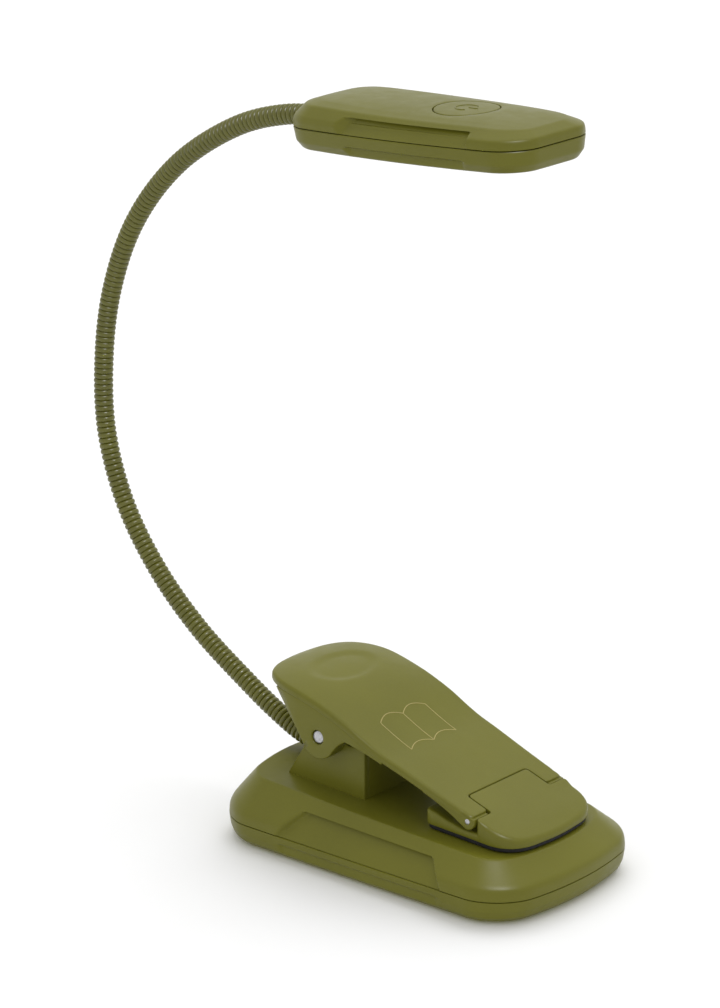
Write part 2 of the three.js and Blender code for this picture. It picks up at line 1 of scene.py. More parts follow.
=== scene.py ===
"""Looks of a clip-on reading lamp, built round its CAD frame.

Millimetres in the numbers, metres in the meshes. +X runs along the base towards the jaw, +Y across it, +Z up.
"""

import json
import math

import bpy
import bmesh
import numpy as np
from mathutils import Matrix, Vector
from mathutils.geometry import delaunay_2d_cdt


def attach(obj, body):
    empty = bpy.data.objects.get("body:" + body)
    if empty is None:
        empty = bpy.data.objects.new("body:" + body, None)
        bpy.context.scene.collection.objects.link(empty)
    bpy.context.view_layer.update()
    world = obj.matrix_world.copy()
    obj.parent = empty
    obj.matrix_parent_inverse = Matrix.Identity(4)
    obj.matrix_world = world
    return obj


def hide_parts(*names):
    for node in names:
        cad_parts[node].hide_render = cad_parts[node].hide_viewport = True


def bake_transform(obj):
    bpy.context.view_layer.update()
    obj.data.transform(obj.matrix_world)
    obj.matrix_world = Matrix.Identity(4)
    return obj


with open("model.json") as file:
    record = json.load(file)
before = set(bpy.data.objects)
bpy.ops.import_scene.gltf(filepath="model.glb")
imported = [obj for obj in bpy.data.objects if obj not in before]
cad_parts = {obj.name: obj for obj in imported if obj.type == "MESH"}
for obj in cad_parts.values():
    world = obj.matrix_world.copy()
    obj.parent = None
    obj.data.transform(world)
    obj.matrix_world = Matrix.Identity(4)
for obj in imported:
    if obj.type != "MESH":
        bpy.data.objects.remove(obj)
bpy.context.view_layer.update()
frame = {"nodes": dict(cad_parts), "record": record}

MM = 0.001
TINY = 1e-9

# ---------------------------------------------------------------- driving dimensions

BASE = {
    "length": 96, "width": 55.5, "corner": 10.65, "corner_loss": 0.81, "end_bow": 4.5, "side_bow": 0.3,
}
BASE_BOTTOM, BASE_SPLIT, BASE_BAND, BASE_TOP, BASE_SLOPE = 0.4, 6.05, 8.9, 15.4, -0.04
BASE_TOP_INSET = 6.1
BASE_GAP, HEAD_GAP = 0.12, 0.18
WALL = 2.0
PAD_RECESS = (66.6, 34.6, 9.3, 1.5)
SCREW_PLACES = [(35, 16), (35, -16), (-35, -16), (-35, 16)]
SCREW_SINK = 2.2
USB_HALF_WIDTH, USB_TOP = 4.8, 9.9

MAIN_PIN, MAIN_PIN_RADIUS = (-18, 30.1), 1.75
JAW_PIN, JAW_PIN_RADIUS = (27, 20), 0.75
PEDESTAL_SIDE, PEDESTAL_INNER, PEDESTAL_FRONT, PEDESTAL_TOP = 14.3, 12.3, -6.8, 28.3
PEDESTAL_FOOT, PEDESTAL_LOBE = 14, 4.2

LEVER_REAR, LEVER_FRONT, LEVER_THICKNESS = -40.7, 28.2, 1.9
LEVER_WIDE, LEVER_NARROW = 18.9, 17.4
CHEEK_INSIDE, CHEEK_LOBE, ARM_LOBE = 14.9, 5.4, 2.05
LEVER_TOP_LINE = [
    (-42, 40.8), (-38.5, 42.0), (-34, 42.6), (-27, 42.35), (-20.8, 41.1), (-15.5, 39.15), (-10, 36.4),
    (-4, 33.2), (2, 30.45), (8, 28.4), (20, 24.15), (45, 15.85),
]
NOTCH_REAR, NOTCH_HALF = 22, 11.4
JAW_REAR, JAW_FRONT, JAW_HALF, JAW_GAP, RUBBER = 13.8, 41.3, 16.9, 0.3, 1.0
DIMPLE_X, DIMPLE_LONG, DIMPLE_WIDE, DIMPLE_DEPTH = -25.4, 6.8, 11.5, 0.5

NECK_RADIUS, NECK_STUB, NECK_LINKS, RIB_PITCH, RIB_DEPTH = 2.5, 8, 11, 1.42, 0.5
NECK_LINE = [
    (-21.6, 17.7), (-29.3, 18.9), (-39.3, 20.8), (-48.3, 24.8), (-57.4, 29.9), (-74, 40.5), (-88.2, 53.5),
    (-98.9, 68.8), (-104.8, 86.3), (-105.2, 105.1), (-101.6, 124.3), (-92.9, 142.8),
    (-77.8, 159.1), (-57.7, 170.8), (-42.8, 175.1), (-31, 176.2), (-23, 176.4),
]

HEAD = {"length": 72.6, "width": 31.8, "corner": 8.4, "corner_loss": 0.5, "end_bow": 0.2, "side_bow": 2.0}
HEAD_CENTRE = (5.2, -2.3, 177.5)
HEAD_TURN = (2.9, -1.9, -3.6)
HEAD_BOTTOM, HEAD_BAND, HEAD_EDGE, HEAD_CROWN, HEAD_SLOPE = -5.2, 2.2, 4.7, 1.15, -0.0275
HEAD_EDGE_INSET, HEAD_TAPER, HEAD_CAVITY, HEAD_FLOOR = 3.3, 0.045, 3.7, HEAD_BOTTOM + 1.4
HEAD_SCREW_X, HEAD_SCREW_Y, HEAD_SCREW_SINK = -27.6, 9.2, 2.0
BUTTON_X, BUTTON_RADIUS, BUTTON_HOLE, BUTTON_FLANGE = 9.6, 7.45, 7.7, 9
LENS_WINDOW = (46.6, 18.6, 5)


# ---------------------------------------------------------------- curves and outlines

def smoothstep(low, high, value):
    """0 below low, 1 above high, and the cubic 3t^2 - 2t^3 between them."""
    t = np.clip((value - low) / (high - low), 0, 1)
    return t * t * (3 - 2 * t)


def smooth_curve(points, per_span=60):
    """Centripetal Catmull-Rom curve: each span is the cubic through its two points whose end slopes come from
    their neighbours, with parameters spaced by the root of the distance. Returns points and lengths."""
    p = np.array(points, float)
    p = np.vstack([2 * p[0] - p[1], p, 2 * p[-1] - p[-2]])
    a, b, c, d = p[:-3], p[1:-2], p[2:-1], p[3:]
    gap = np.sqrt(np.linalg.norm(np.diff(p, axis=0), axis=1))[:, None]
    g0, g1, g2 = gap[:-2], gap[1:-1], gap[2:]
    slope_b = ((b - a) / g0 - (c - a) / (g0 + g1) + (c - b) / g1) * g1
    slope_c = ((c - b) / g1 - (d - b) / (g1 + g2) + (d - c) / g2) * g1
    t = np.linspace(0, 1, per_span, endpoint=False)[None, :, None]
    b, c, slope_b, slope_c = (v[:, None, :] for v in (b, c, slope_b, slope_c))
    square, cube = 3 * (c - b) - 2 * slope_b - slope_c, 2 * (b - c) + slope_b + slope_c
    curve = b + slope_b * t + square * t**2 + cube * t**3
    curve = np.vstack([curve.reshape(-1, p.shape[1]), p[-2]])
    along = np.concatenate([[0], np.cumsum(np.linalg.norm(np.diff(curve, axis=0), axis=1))])
    return curve, along


def rounded(corners, radii, step, closed=True):
    """Line through corners, each cut back by its radius and replaced by a quadratic arc. Straights are cut to
    step."""
    corners = np.array(corners, float)
    count = len(corners)
    radii = np.broadcast_to(np.array(radii, float), count)
    pieces = []
    for k in range(count):
        corner, before, after = corners[k], corners[k - 1], corners[(k + 1) % count]
        if not closed and k in (0, count - 1):
            pieces.append(corner[None])
            continue
        to_before, to_after = before - corner, after - corner
        near, far = np.linalg.norm(to_before), np.linalg.norm(to_after)
        cosine = np.clip(to_before @ to_after / (near * far), -1, 1)
        cut = radii[k] / max(math.tan(math.acos(cosine) / 2), 0.2)
        start = corner + to_before / near * min(cut, near * 0.48)
        end = corner + to_after / far * min(cut, far * 0.48)
        t = np.linspace(0, 1, 9)[:, None]
        pieces.append((1 - t) ** 2 * start + 2 * t * (1 - t) * corner + t**2 * end)
    line = np.vstack(pieces + ([pieces[0][:1]] if closed else []))
    line = line[np.concatenate([[True], np.linalg.norm(np.diff(line, axis=0), axis=1) > 1e-4])]
    lengths = np.linalg.norm(np.diff(line, axis=0), axis=1)
    cuts = np.maximum(np.ceil(lengths / step).astype(int), 1)
    shares = [np.linspace(0, 1, n, endpoint=False)[:, None] for n in cuts]
    cut_line = np.vstack([a + (b - a) * t for a, b, t in zip(line[:-1], line[1:], shares)])
    return cut_line if closed else np.vstack([cut_line, line[-1:]])


def circle(x, y, radius, count=64, clockwise=False):
    """Round outline about (x, y)."""
    angle = np.linspace(0, 2 * math.pi, count, endpoint=False) * (-1 if clockwise else 1)
    return np.stack([x + radius * np.cos(angle), y + radius * np.sin(angle)], 1)


def rectangle(x0, x1, y0, y1, radius, step, clockwise=False):
    """Rounded rectangle as an outline."""
    loop = rounded([(x0, y0), (x1, y0), (x1, y1), (x0, y1)], radius, step)
    return loop[::-1] if clockwise else loop


def offset_loop(loop, inset):
    """The outline moved to its own left: each point goes along the mean of its two edges' left normals,
    lengthened at corners to keep the distance."""
    def left(edge):
        normal = np.stack([-edge[:, 1], edge[:, 0]], 1)
        return normal / (np.linalg.norm(normal, axis=1)[:, None] + TINY)

    before, after = left(loop - np.roll(loop, 1, 0)), left(np.roll(loop, -1, 0) - loop)
    mean = before + after
    mean /= np.linalg.norm(mean, axis=1)[:, None]
    return loop + mean * (inset / np.maximum((mean * after).sum(1), 0.5))[:, None]


# ---------------------------------------------------------------- surfaces

def ring_faces(rows, columns, start=0):
    """Quads joining each ring of points to the next, closed round each ring."""
    i, j = np.meshgrid(np.arange(rows - 1), np.arange(columns), indexing="ij")
    here, there = i * columns + j, i * columns + (j + 1) % columns
    quads = np.stack([here, there, there + columns, here + columns], -1)
    return quads.reshape(-1, 4) + start


def inside(points, loop):
    """True for each point with an odd number of the loop's edges to its right."""
    x, y = points[:, 0, None], points[:, 1, None]
    x0, y0 = loop.T
    x1, y1 = np.roll(loop, -1, 0).T
    rise = np.where(np.abs(y1 - y0) < TINY, TINY, y1 - y0)
    crossed = ((y0 > y) != (y1 > y)) & (x < x0 + (y - y0) * (x1 - x0) / rise)
    return crossed.sum(1) % 2 == 1


def fill(loops, spacing):
    """Triangles over the area in the first loop and outside the rest: the loops' points and a staggered
    lattice, joined by Delaunay. Returns plan points and triangles that face up."""
    outer, edge_points = loops[0], np.vstack(loops)
    low, high = outer.min(0), outer.max(0)
    columns = np.arange(low[0], high[0], spacing)
    rows = np.arange(low[1], high[1], spacing * 0.87)
    x, y = np.meshgrid(columns, rows)
    x[1::2] += spacing / 2
    lattice = np.stack([x.ravel(), y.ravel()], 1)

    def kept(points):
        keep = inside(points, outer)
        for hole in loops[1:]:
            keep &= ~inside(points, hole)
        return keep

    lattice = lattice[kept(lattice)]
    nearest = np.full(len(lattice), 1e9)
    for part in np.array_split(edge_points, max(1, len(edge_points) // 100)):
        nearest = np.minimum(nearest, np.linalg.norm(lattice[:, None] - part[None], axis=2).min(1))
    lattice = lattice[nearest > spacing * 0.55]
    edges, first = [], 0
    for number, loop in enumerate(loops):
        n = len(loop)
        x, y = loop.T
        anticlockwise = x @ np.roll(y, -1) > y @ np.roll(x, -1)
        ring = [(first + k, first + (k + 1) % n) for k in range(n)]
        edges += ring if anticlockwise == (number == 0) else [pair[::-1] for pair in ring]
        first += n
    flat = [Vector(p) for p in np.vstack([edge_points, lattice])]
    points, lines, triangles, _, sources, _ = delaunay_2d_cdt(flat, edges, [], 0, 1e-7)
    points, triangles = np.array([tuple(v) for v in points]), np.array(triangles)
    a, b, c = (points[triangles[:, k]] for k in range(3))
    turned = (b[:, 0] - a[:, 0]) * (c[:, 1] - a[:, 1]) - (b[:, 1] - a[:, 1]) * (c[:, 0] - a[:, 0]) < 0
    triangles[turned] = triangles[turned][:, ::-1]
    wall = set()
    for (start, end), source in zip(lines, sources):
        if source:
            first, last = (edge_points[v] for v in edges[source[0]])
            ahead = (points[end] - points[start]) @ (last - first) > 0
            wall.add((start, end) if ahead else (end, start))
    return points, triangles[left_of(wall, triangles)]


def left_of(wall, triangles):
    """Numbers of the triangles reached from the left of the wall's directed edges without crossing it."""
    corners = triangles.tolist()
    owner = {}
    for number, (a, b, c) in enumerate(corners):
        owner.update({(a, b): number, (b, c): number, (c, a): number})
    waiting = [owner[edge] for edge in wall if edge in owner]
    reached = set(waiting)
    while waiting:
        a, b, c = corners[waiting.pop()]
        for edge in ((a, b), (b, c), (c, a)):
            beyond = owner.get(edge[::-1])
            if not {edge, edge[::-1]} & wall and beyond is not None and beyond not in reached:
                reached.add(beyond)
                waiting.append(beyond)
    return sorted(reached)


def sheet(loops, spacing, height, up=True):
    """Filled outline lifted to height(x, y), facing up or down."""
    points, triangles = fill(loops, spacing)
    solid = np.column_stack([points, height(*points.T)])
    return solid, (triangles if up else triangles[:, ::-1])


def stack(rings):
    """Wall through rings of equal count, given as (rows, columns, 3)."""
    rings = np.asarray(rings)
    return rings.reshape(-1, 3), ring_faces(rings.shape[0], rings.shape[1])


def slab(loops, bottom, top, edge=0.5, low_edge=None, spacing=1.5, arc=5):
    """Plate over a plan outline (anticlockwise, its holes clockwise) between bottom(x, y) and top(x, y). Its
    rims are quarter rounds: a point at angle a is drawn in by r(1 - sin a) and stands r(1 - cos a) from the
    face, where the radius r may change along the outline."""
    low_edge = edge if low_edge is None else low_edge
    parts, top_loops, bottom_loops = [], [], []
    for loop in loops:
        high, low = (e(*loop.T) if callable(e) else np.full(len(loop), float(e)) for e in (edge, low_edge))
        rings = []
        for radius, height, way, angles in ((low, bottom, 1, 1), (high, top, -1, -1)):
            for a in np.linspace(0, math.pi / 2, arc)[::angles]:
                plan = offset_loop(loop, radius * (1 - math.sin(a)))
                rings.append(np.column_stack([plan, height(*plan.T) + way * radius * (1 - math.cos(a))]))
        parts.append(stack(rings))
        bottom_loops.append(rings[0][:, :2])
        top_loops.append(rings[-1][:, :2])
    parts.append(sheet(top_loops, spacing, top))
    parts.append(sheet(bottom_loops, spacing * 1.5, bottom, up=False))
    return parts


def level(z):
    """A height that is the same everywhere."""
    return lambda x, y: np.full(np.shape(x), float(z))


def upright(parts, flip=False):
    """Parts drawn in plan and stood up across the lamp: x stays X, plan y becomes Z, and height becomes -Y."""
    return [(v[:, [0, 2, 1]] * (1, -1, 1), f) for v, f in parts]


def mirrored(parts):
    """Parts with Y changed in sign and their faces turned back outwards."""
    return [(v * (1, -1, 1), f[:, ::-1]) for v, f in parts]


def tube(path, radius, sides, across):
    """Closed round rod: at each path point a ring of the given radius lies square to the path, its first axis
    along the cross product of `across` and the tangent. Radius is a number, or an array of rows by sides."""
    path = np.asarray(path, float)
    tangent = np.gradient(path, axis=0)
    tangent /= np.linalg.norm(tangent, axis=1)[:, None]
    first = np.cross(np.asarray(across, float), tangent)
    first /= np.linalg.norm(first, axis=1)[:, None]
    second = np.cross(tangent, first)
    angle = np.linspace(0, 2 * math.pi, sides, endpoint=False)
    radius = np.broadcast_to(np.asarray(radius, float), (len(path), sides))[..., None]
    cosine, sine = np.cos(angle)[None, :, None], np.sin(angle)[None, :, None]
    ring = first[:, None] * cosine + second[:, None] * sine
    rings = path[:, None] + radius * ring
    walls, quads = stack(rings)
    last = (len(path) - 1) * sides
    around = np.arange(sides)
    following = (around + 1) % sides
    start_cap = np.stack([np.full(sides, len(walls)), following, around], 1)
    end_cap = np.stack([np.full(sides, len(walls) + 1), last + around, last + following], 1)
    points = np.vstack([walls, path[:1], path[-1:]])
    return [(points, quads), (points, np.vstack([start_cap, end_cap]))]


def lathe(profile, x, y, count=64):
    """Profile of (radius, height) pairs turned about the upright line at (x, y), from the axis back to it."""
    profile = np.array(profile, float)
    angle = np.linspace(0, 2 * math.pi, count, endpoint=False)
    radius, height = profile[:, 0, None], np.repeat(profile[:, 1, None], count, 1)
    return [stack(np.stack([x + radius * np.cos(angle), y + radius * np.sin(angle), height], -1))]


def turned(matrix, shift, parts):
    """Parts turned by a 3x3 matrix and then moved."""
    return [(v @ matrix.T + np.array(shift, float), f) for v, f in parts]


def piece(name, parts, material, body, stands_for=(), sharp=38):
    """Joins parts into one mesh, merges the points they share, and sets it to ride its body, if it has one."""
    points, faces, first = [], [], 0
    for v, f in parts:
        points.append(v)
        faces += (f + first).tolist()
        first += len(v)
    mesh = bpy.data.meshes.new(name)
    mesh.from_pydata((np.vstack(points) * MM).tolist(), [], faces)
    work = bmesh.new()
    work.from_mesh(mesh)
    bmesh.ops.remove_doubles(work, verts=work.verts, dist=2e-6)
    loose = [v for v in work.verts if not v.link_faces]
    bmesh.ops.delete(work, geom=loose, context="VERTS")
    work.to_mesh(mesh)
    work.free()
    mesh.shade_smooth()
    mesh.set_sharp_from_angle(angle=math.radians(sharp))
    mesh.materials.append(material)
    made = bpy.data.objects.new(name, mesh)
    bpy.context.scene.collection.objects.link(made)
    if body:
        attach(made, body)
    if stands_for:
        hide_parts(*stands_for)
    return made


# ---------------------------------------------------------------- materials

class Finish:
    """A node material read in Object coordinates, with small helpers for its noise, ramps and bumps."""

    def __init__(self, name, colour, roughness, metallic=0.0, specular=0.5, **sockets):
        self.material = bpy.data.materials.new(name)
        self.material.use_nodes = True
        self.material.diffuse_color = (*colour, 1)
        self.tree = self.material.node_tree
        self.shader = self.tree.nodes["Principled BSDF"]
        self.shader.inputs["Base Color"].default_value = (*colour, 1)
        self.shader.inputs["Roughness"].default_value = roughness
        self.shader.inputs["Metallic"].default_value = metallic
        self.shader.inputs["Specular IOR Level"].default_value = specular
        for socket, value in sockets.items():
            self.shader.inputs[socket.replace("_", " ")].default_value = value
        self.place = self.tree.nodes.new("ShaderNodeTexCoord").outputs["Object"]
        self.normal = None

    def link(self, source, target):
        """Joins an output to an input."""
        self.tree.links.new(source, target)

    def noise(self, size_mm, detail=3.0, stretch=(1, 1, 1), rough=0.55, kind="FBM"):
        """Noise whose features are about size_mm across, drawn out along an axis by a stretch over 1."""
        mapping = self.tree.nodes.new("ShaderNodeMapping")
        mapping.inputs["Scale"].default_value = [1000 / size_mm / s for s in stretch]
        self.link(self.place, mapping.inputs["Vector"])
        node = self.tree.nodes.new("ShaderNodeTexNoise")
        node.noise_type = kind
        node.inputs["Scale"].default_value = 1.0
        node.inputs["Detail"].default_value = detail
        node.inputs["Roughness"].default_value = rough
        self.link(mapping.outputs["Vector"], node.inputs["Vector"])
        return node.outputs["Fac"]

    def spread(self, value, low, high, to_low, to_high):
        """The value's range from low to high carried to another range."""
        node = self.tree.nodes.new("ShaderNodeMapRange")
        for socket, number in zip(("From Min", "From Max", "To Min", "To Max"), (low, high, to_low, to_high)):
            node.inputs[socket].default_value = number
        self.link(value, node.inputs["Value"])
        return node.outputs["Result"]

    def drift(self, size_mm, detail, low, high):
        """Noise whose middle range is carried to low and high."""
        return self.spread(self.noise(size_mm, detail), 0.3, 0.7, low, high)

    def share(self, value, top):
        """A value from 0 to 1 carried to 0 and top."""
        return self.spread(value, 0, 1, 0, top)

    def combine(self, operation, a, b):
        """One sum, where a and b are outputs or plain numbers."""
        node = self.tree.nodes.new("ShaderNodeMath")
        node.operation = operation
        for socket, value in zip(node.inputs, (a, b)):
            if isinstance(value, (int, float)):
                socket.default_value = value
            else:
                self.link(value, socket)
        return node.outputs["Value"]

    def blend(self, share, first, second):
        """Colour that goes from the first to the second with share; each is a colour or another blend."""
        node = self.tree.nodes.new("ShaderNodeMix")
        node.data_type = "RGBA"
        self.link(share, node.inputs["Factor"])
        for socket, colour in zip(("A", "B"), (first, second)):
            target = [s for s in node.inputs if s.name == socket and s.type == "RGBA"][0]
            if isinstance(colour, tuple):
                target.default_value = (*colour, 1)
            else:
                self.link(colour, target)
        return [s for s in node.outputs if s.type == "RGBA"][0]

    def colour(self, source):
        """Feeds the shader's colour."""
        self.link(source, self.shader.inputs["Base Color"])

    def roughness(self, source):
        """Feeds the shader's roughness."""
        self.link(source, self.shader.inputs["Roughness"])

    def bump(self, height, distance_mm, strength=1.0):
        """Adds relief of the given height over the bumps before it."""
        node = self.tree.nodes.new("ShaderNodeBump")
        node.inputs["Distance"].default_value = distance_mm * MM
        node.inputs["Strength"].default_value = strength
        self.link(height, node.inputs["Height"])
        if self.normal:
            self.link(self.normal, node.inputs["Normal"])
        self.normal = node.outputs["Normal"]
        self.link(self.normal, self.shader.inputs["Normal"])


def scaled(colour, factor):
    """A colour lighter or darker by a factor."""
    return tuple(c * factor for c in colour)


def moulded_olive(name, colour, roughness):
    """Satin moulded plastic: fine spark-eroded grain, slow flow tones, and a few rubbed, shinier patches."""
    made = Finish(name, colour, roughness, specular=0.26)
    flow = made.noise(28, 4)
    speck = made.noise(0.5, 2)
    rub = made.spread(made.noise(9, 5, rough=0.65), 0.56, 0.72, 0, 1)
    hair = made.spread(made.noise(0.35, 2, stretch=(30, 1.4, 1.4)), 0.66, 0.78, 0, 1)
    tone = made.blend(made.spread(flow, 0.35, 0.65, 0, 1), scaled(colour, 0.95), scaled(colour, 1.05))
    tone = made.blend(made.spread(speck, 0.3, 0.7, 0, 0.22), tone, scaled(colour, 1.22))
    tone = made.blend(made.share(rub, 0.16), tone, scaled(colour, 1.16))
    made.colour(tone)
    rough = made.drift(4, 3, roughness - 0.035, roughness + 0.045)
    rough = made.combine("SUBTRACT", rough, made.share(rub, 0.05))
    rough = made.combine("SUBTRACT", rough, made.share(hair, 0.04))
    made.roughness(rough)
    made.bump(made.noise(40, 2), 0.25, 0.25)
    made.bump(made.noise(0.42, 3, rough=0.6), 0.035, 0.45)
    made.bump(hair, 0.01, 0.35)
    return made.material


def painted_wire(name, colour, roughness):
    """Satin paint over wound wire: smoother than the plastic, thinner and lighter where the coils rub."""
    made = Finish(name, colour, roughness, specular=0.5)
    worn = made.spread(made.noise(1.2, 4, rough=0.7), 0.55, 0.75, 0, 1)
    flow = made.spread(made.noise(14, 3), 0.35, 0.65, 0, 1)
    tone = made.blend(flow, scaled(colour, 0.92), scaled(colour, 1.06))
    made.colour(made.blend(made.share(worn, 0.3), tone, scaled(colour, 1.35)))
    made.roughness(made.drift(2.5, 3, roughness - 0.05, roughness + 0.06))
    made.bump(made.noise(0.3, 3), 0.02, 0.35)
    return made.material


def drawn_steel(name):
    """Bright drawn steel with fine lines along the pins and a few dull spots."""
    colour = (0.46, 0.46, 0.48)
    made = Finish(name, colour, 0.4, metallic=1.0)
    lines = made.noise(0.12, 3, stretch=(1, 25, 1))
    spots = made.spread(made.noise(0.9, 4, rough=0.7), 0.55, 0.75, 0, 1)
    made.colour(made.blend(made.share(spots, 0.6), scaled(colour, 1.05), scaled(colour, 0.72)))
    made.roughness(made.spread(made.combine("ADD", lines, spots), 0.3, 1.3, 0.34, 0.52))
    made.bump(lines, 0.01, 0.4)
    return made.material


def matt_rubber(name, colour, roughness):
    """Matt rubber: pebbled grain, dusty greyer patches."""
    made = Finish(name, colour, roughness, specular=0.35)
    dust = made.spread(made.noise(5, 5, rough=0.7), 0.5, 0.75, 0, 1)
    made.colour(made.blend(made.share(dust, 0.5), colour, tuple(c * 1.7 + 0.006 for c in colour)))
    made.roughness(made.drift(1.5, 3, roughness - 0.08, roughness + 0.08))
    made.bump(made.noise(0.5, 3), 0.05, 0.6)
    return made.material


def coated_board(name, colour, mark):
    """Lacquered circuit board with faint copper tracks under the lacquer."""
    made = Finish(name, colour, 0.35)
    tracks = made.spread(made.noise(1.6, 1, stretch=(4, 1, 1)), 0.5, 0.53, 0, 1)
    tone = made.blend(made.drift(10, 3, 0, 1), scaled(colour, 0.9), scaled(colour, 1.1))
    made.colour(made.blend(made.share(tracks, 0.35), tone, mark))
    made.roughness(made.drift(3, 2, 0.28, 0.45))
    made.bump(tracks, 0.03, 0.5)
    return made.material


def cell_wrap(name):
    """Shrunk foil round the battery cell: soft creases with painted shade in their hollows and a painted
    highlight on their ridges, and a dull metal sheen.
    """
    colour = (0.45, 0.47, 0.50)
    made = Finish(name, colour, 0.4, metallic=0.6)
    crease_relief_and_shade = made.noise(5, 4, stretch=(3, 1, 1), rough=0.65)
    # Painted shade and highlight: the colour is darker in the crease hollows and lighter on the crease ridges,
    # following the bump's noise.
    made.colour(made.blend(crease_relief_and_shade, scaled(colour, 0.85), scaled(colour, 1.12)))
    made.roughness(made.spread(crease_relief_and_shade, 0.3, 0.7, 0.32, 0.5))
    made.bump(crease_relief_and_shade, 0.2, 0.5)
    return made.material


def phosphor(name):
    """Yellow phosphor gel over an LED chip, slightly mottled."""
    colour = (0.85, 0.68, 0.16)
    made = Finish(name, colour, 0.35)
    made.colour(made.blend(made.noise(0.6, 3), scaled(colour, 0.85), scaled(colour, 1.1)))
    made.roughness(made.drift(0.4, 2, 0.25, 0.45))
    made.bump(made.noise(0.5, 2), 0.03, 0.5)
    return made.material


def frosted_diffuser(name):
    """Milky frosted plastic: fine etched grain and a soft glow of light through it."""
    colour = (0.86, 0.86, 0.82)
    made = Finish(name, colour, 0.42, Subsurface_Weight=0.15, Transmission_Weight=0.12)
    made.colour(made.blend(made.drift(12, 3, 0, 1), scaled(colour, 0.97), colour))
    made.roughness(made.drift(1.2, 3, 0.36, 0.5))
    made.bump(made.noise(0.3, 3), 0.03, 0.5)
    return made.material


OLIVE = (0.148, 0.144, 0.012)
olive = moulded_olive("olive_plastic", OLIVE, 0.37)
olive_wire = painted_wire("olive_metal", (0.125, 0.123, 0.010), 0.34)
steel = drawn_steel("steel")
rubber = matt_rubber("black_rubber", (0.012, 0.012, 0.013), 0.72)
black = matt_rubber("black_plastic", (0.022, 0.022, 0.022), 0.5)
sheath = matt_rubber("cable_sheath", (0.012, 0.012, 0.012), 0.45)
board = coated_board("circuit_board", (0.02, 0.11, 0.05), (0.05, 0.2, 0.08))
white_board = coated_board("white_board", (0.78, 0.78, 0.76), (0.7, 0.7, 0.66))
foil = cell_wrap("cell_foil")
led = phosphor("led_phosphor")
diffuser = frosted_diffuser("diffuser")
tan_line = moulded_olive("tan_line", (0.40, 0.34, 0.12), 0.5)

FINISHES = {
    "olive_plastic": olive, "olive_metal": olive_wire, "steel": steel, "black_rubber": rubber,
    "black_plastic": black, "cable_sheath": sheath, "circuit_board": board, "white_board": white_board,
    "cell_foil": foil, "led_phosphor": led, "diffuser": diffuser,
}
for part in frame["record"]["subparts"]:
    mesh = frame["nodes"][part["node"]].data
    mesh.materials.clear()
    mesh.materials.append(FINISHES[part["material_slot"]])


# ---------------------------------------------------------------- shells of the base and the head

def shell_columns(long_cuts=150, end_cuts=56, corner_cuts=16, extra_ends=()):
    """How each column of a shell's wall is placed: a pair of signs, which says where its corner's centre lies,
    and a direction. Along a straight the signs slide to the next corner's, and the direction holds."""
    signs, directions = [], []
    corners = np.array([(1, 1), (-1, 1), (-1, -1), (1, -1)], float)
    for k, corner in enumerate(corners):
        angle = (k + np.linspace(0, 1, corner_cuts + 1)) * math.pi / 2
        signs.append(np.repeat(corner[None], corner_cuts + 1, 0))
        directions.append(np.stack([np.cos(angle), np.sin(angle)], 1))
        cuts = long_cuts if k % 2 == 0 else end_cuts
        share = np.arange(1, cuts) / cuts
        if k == 1 and extra_ends:
            share = np.unique(np.concatenate([share, [(1 - s) / 2 for s in extra_ends]]))
        following = corners[(k + 1) % 4]
        signs.append(corner + (following - corner) * share[:, None])
        directions.append(np.repeat(directions[-1][-1:], len(share), 0))
    return np.vstack(signs), np.vstack(directions)


def shell_plan(shell, columns, inset):
    """Plan of a shell's wall drawn in by inset (rows by columns): a rounded rectangle whose ends and sides
    then bow, x(1 - (2e/L)(2y/W)^2) and y(1 - (2s/W)(2x/L)^2)."""
    signs, directions = columns
    length, width = shell["length"] - 2 * inset, shell["width"] - 2 * inset
    radius = np.maximum(shell["corner"] - shell["corner_loss"] * inset, 1)
    x = signs[:, 0] * (length / 2 - radius) + radius * directions[:, 0]
    y = signs[:, 1] * (width / 2 - radius) + radius * directions[:, 1]
    x2, y2 = (2 * x / length) ** 2, (2 * y / width) ** 2
    return x * (1 - 2 * shell["end_bow"] / length * y2), y * (1 - 2 * shell["side_bow"] / width * x2)


def along_profile(profile, share):
    """(inset, height) at shares of the profile's length."""
    lengths = np.concatenate([[0], np.cumsum(np.linalg.norm(np.diff(profile, axis=0), axis=1))])
    at = np.asarray(share) * lengths[-1]
    return np.interp(at, lengths, profile[:, 0]), np.interp(at, lengths, profile[:, 1])


def shell_wall(shell, columns, profile, rows, start=None):
    """Rings up a profile of (inset, height). `start` is each column's first share of it, for a notch."""
    share = np.linspace(0, 1, rows)[:, None]
    first = np.zeros((1, len(columns[0]))) if start is None else start[None]
    inset, height = along_profile(profile, first + share * (1 - first))
    x, y = shell_plan(shell, columns, inset)
    return np.stack([x, y, height], -1)


def soft_max(a, b, width):
    """The larger of two values, eased over width where they cross: max + w/4 (1 - |a - b| / w)^2."""
    near = np.clip(1 - np.abs(a - b) / width, 0, 1)
    return np.maximum(a, b) + width / 4 * near**2


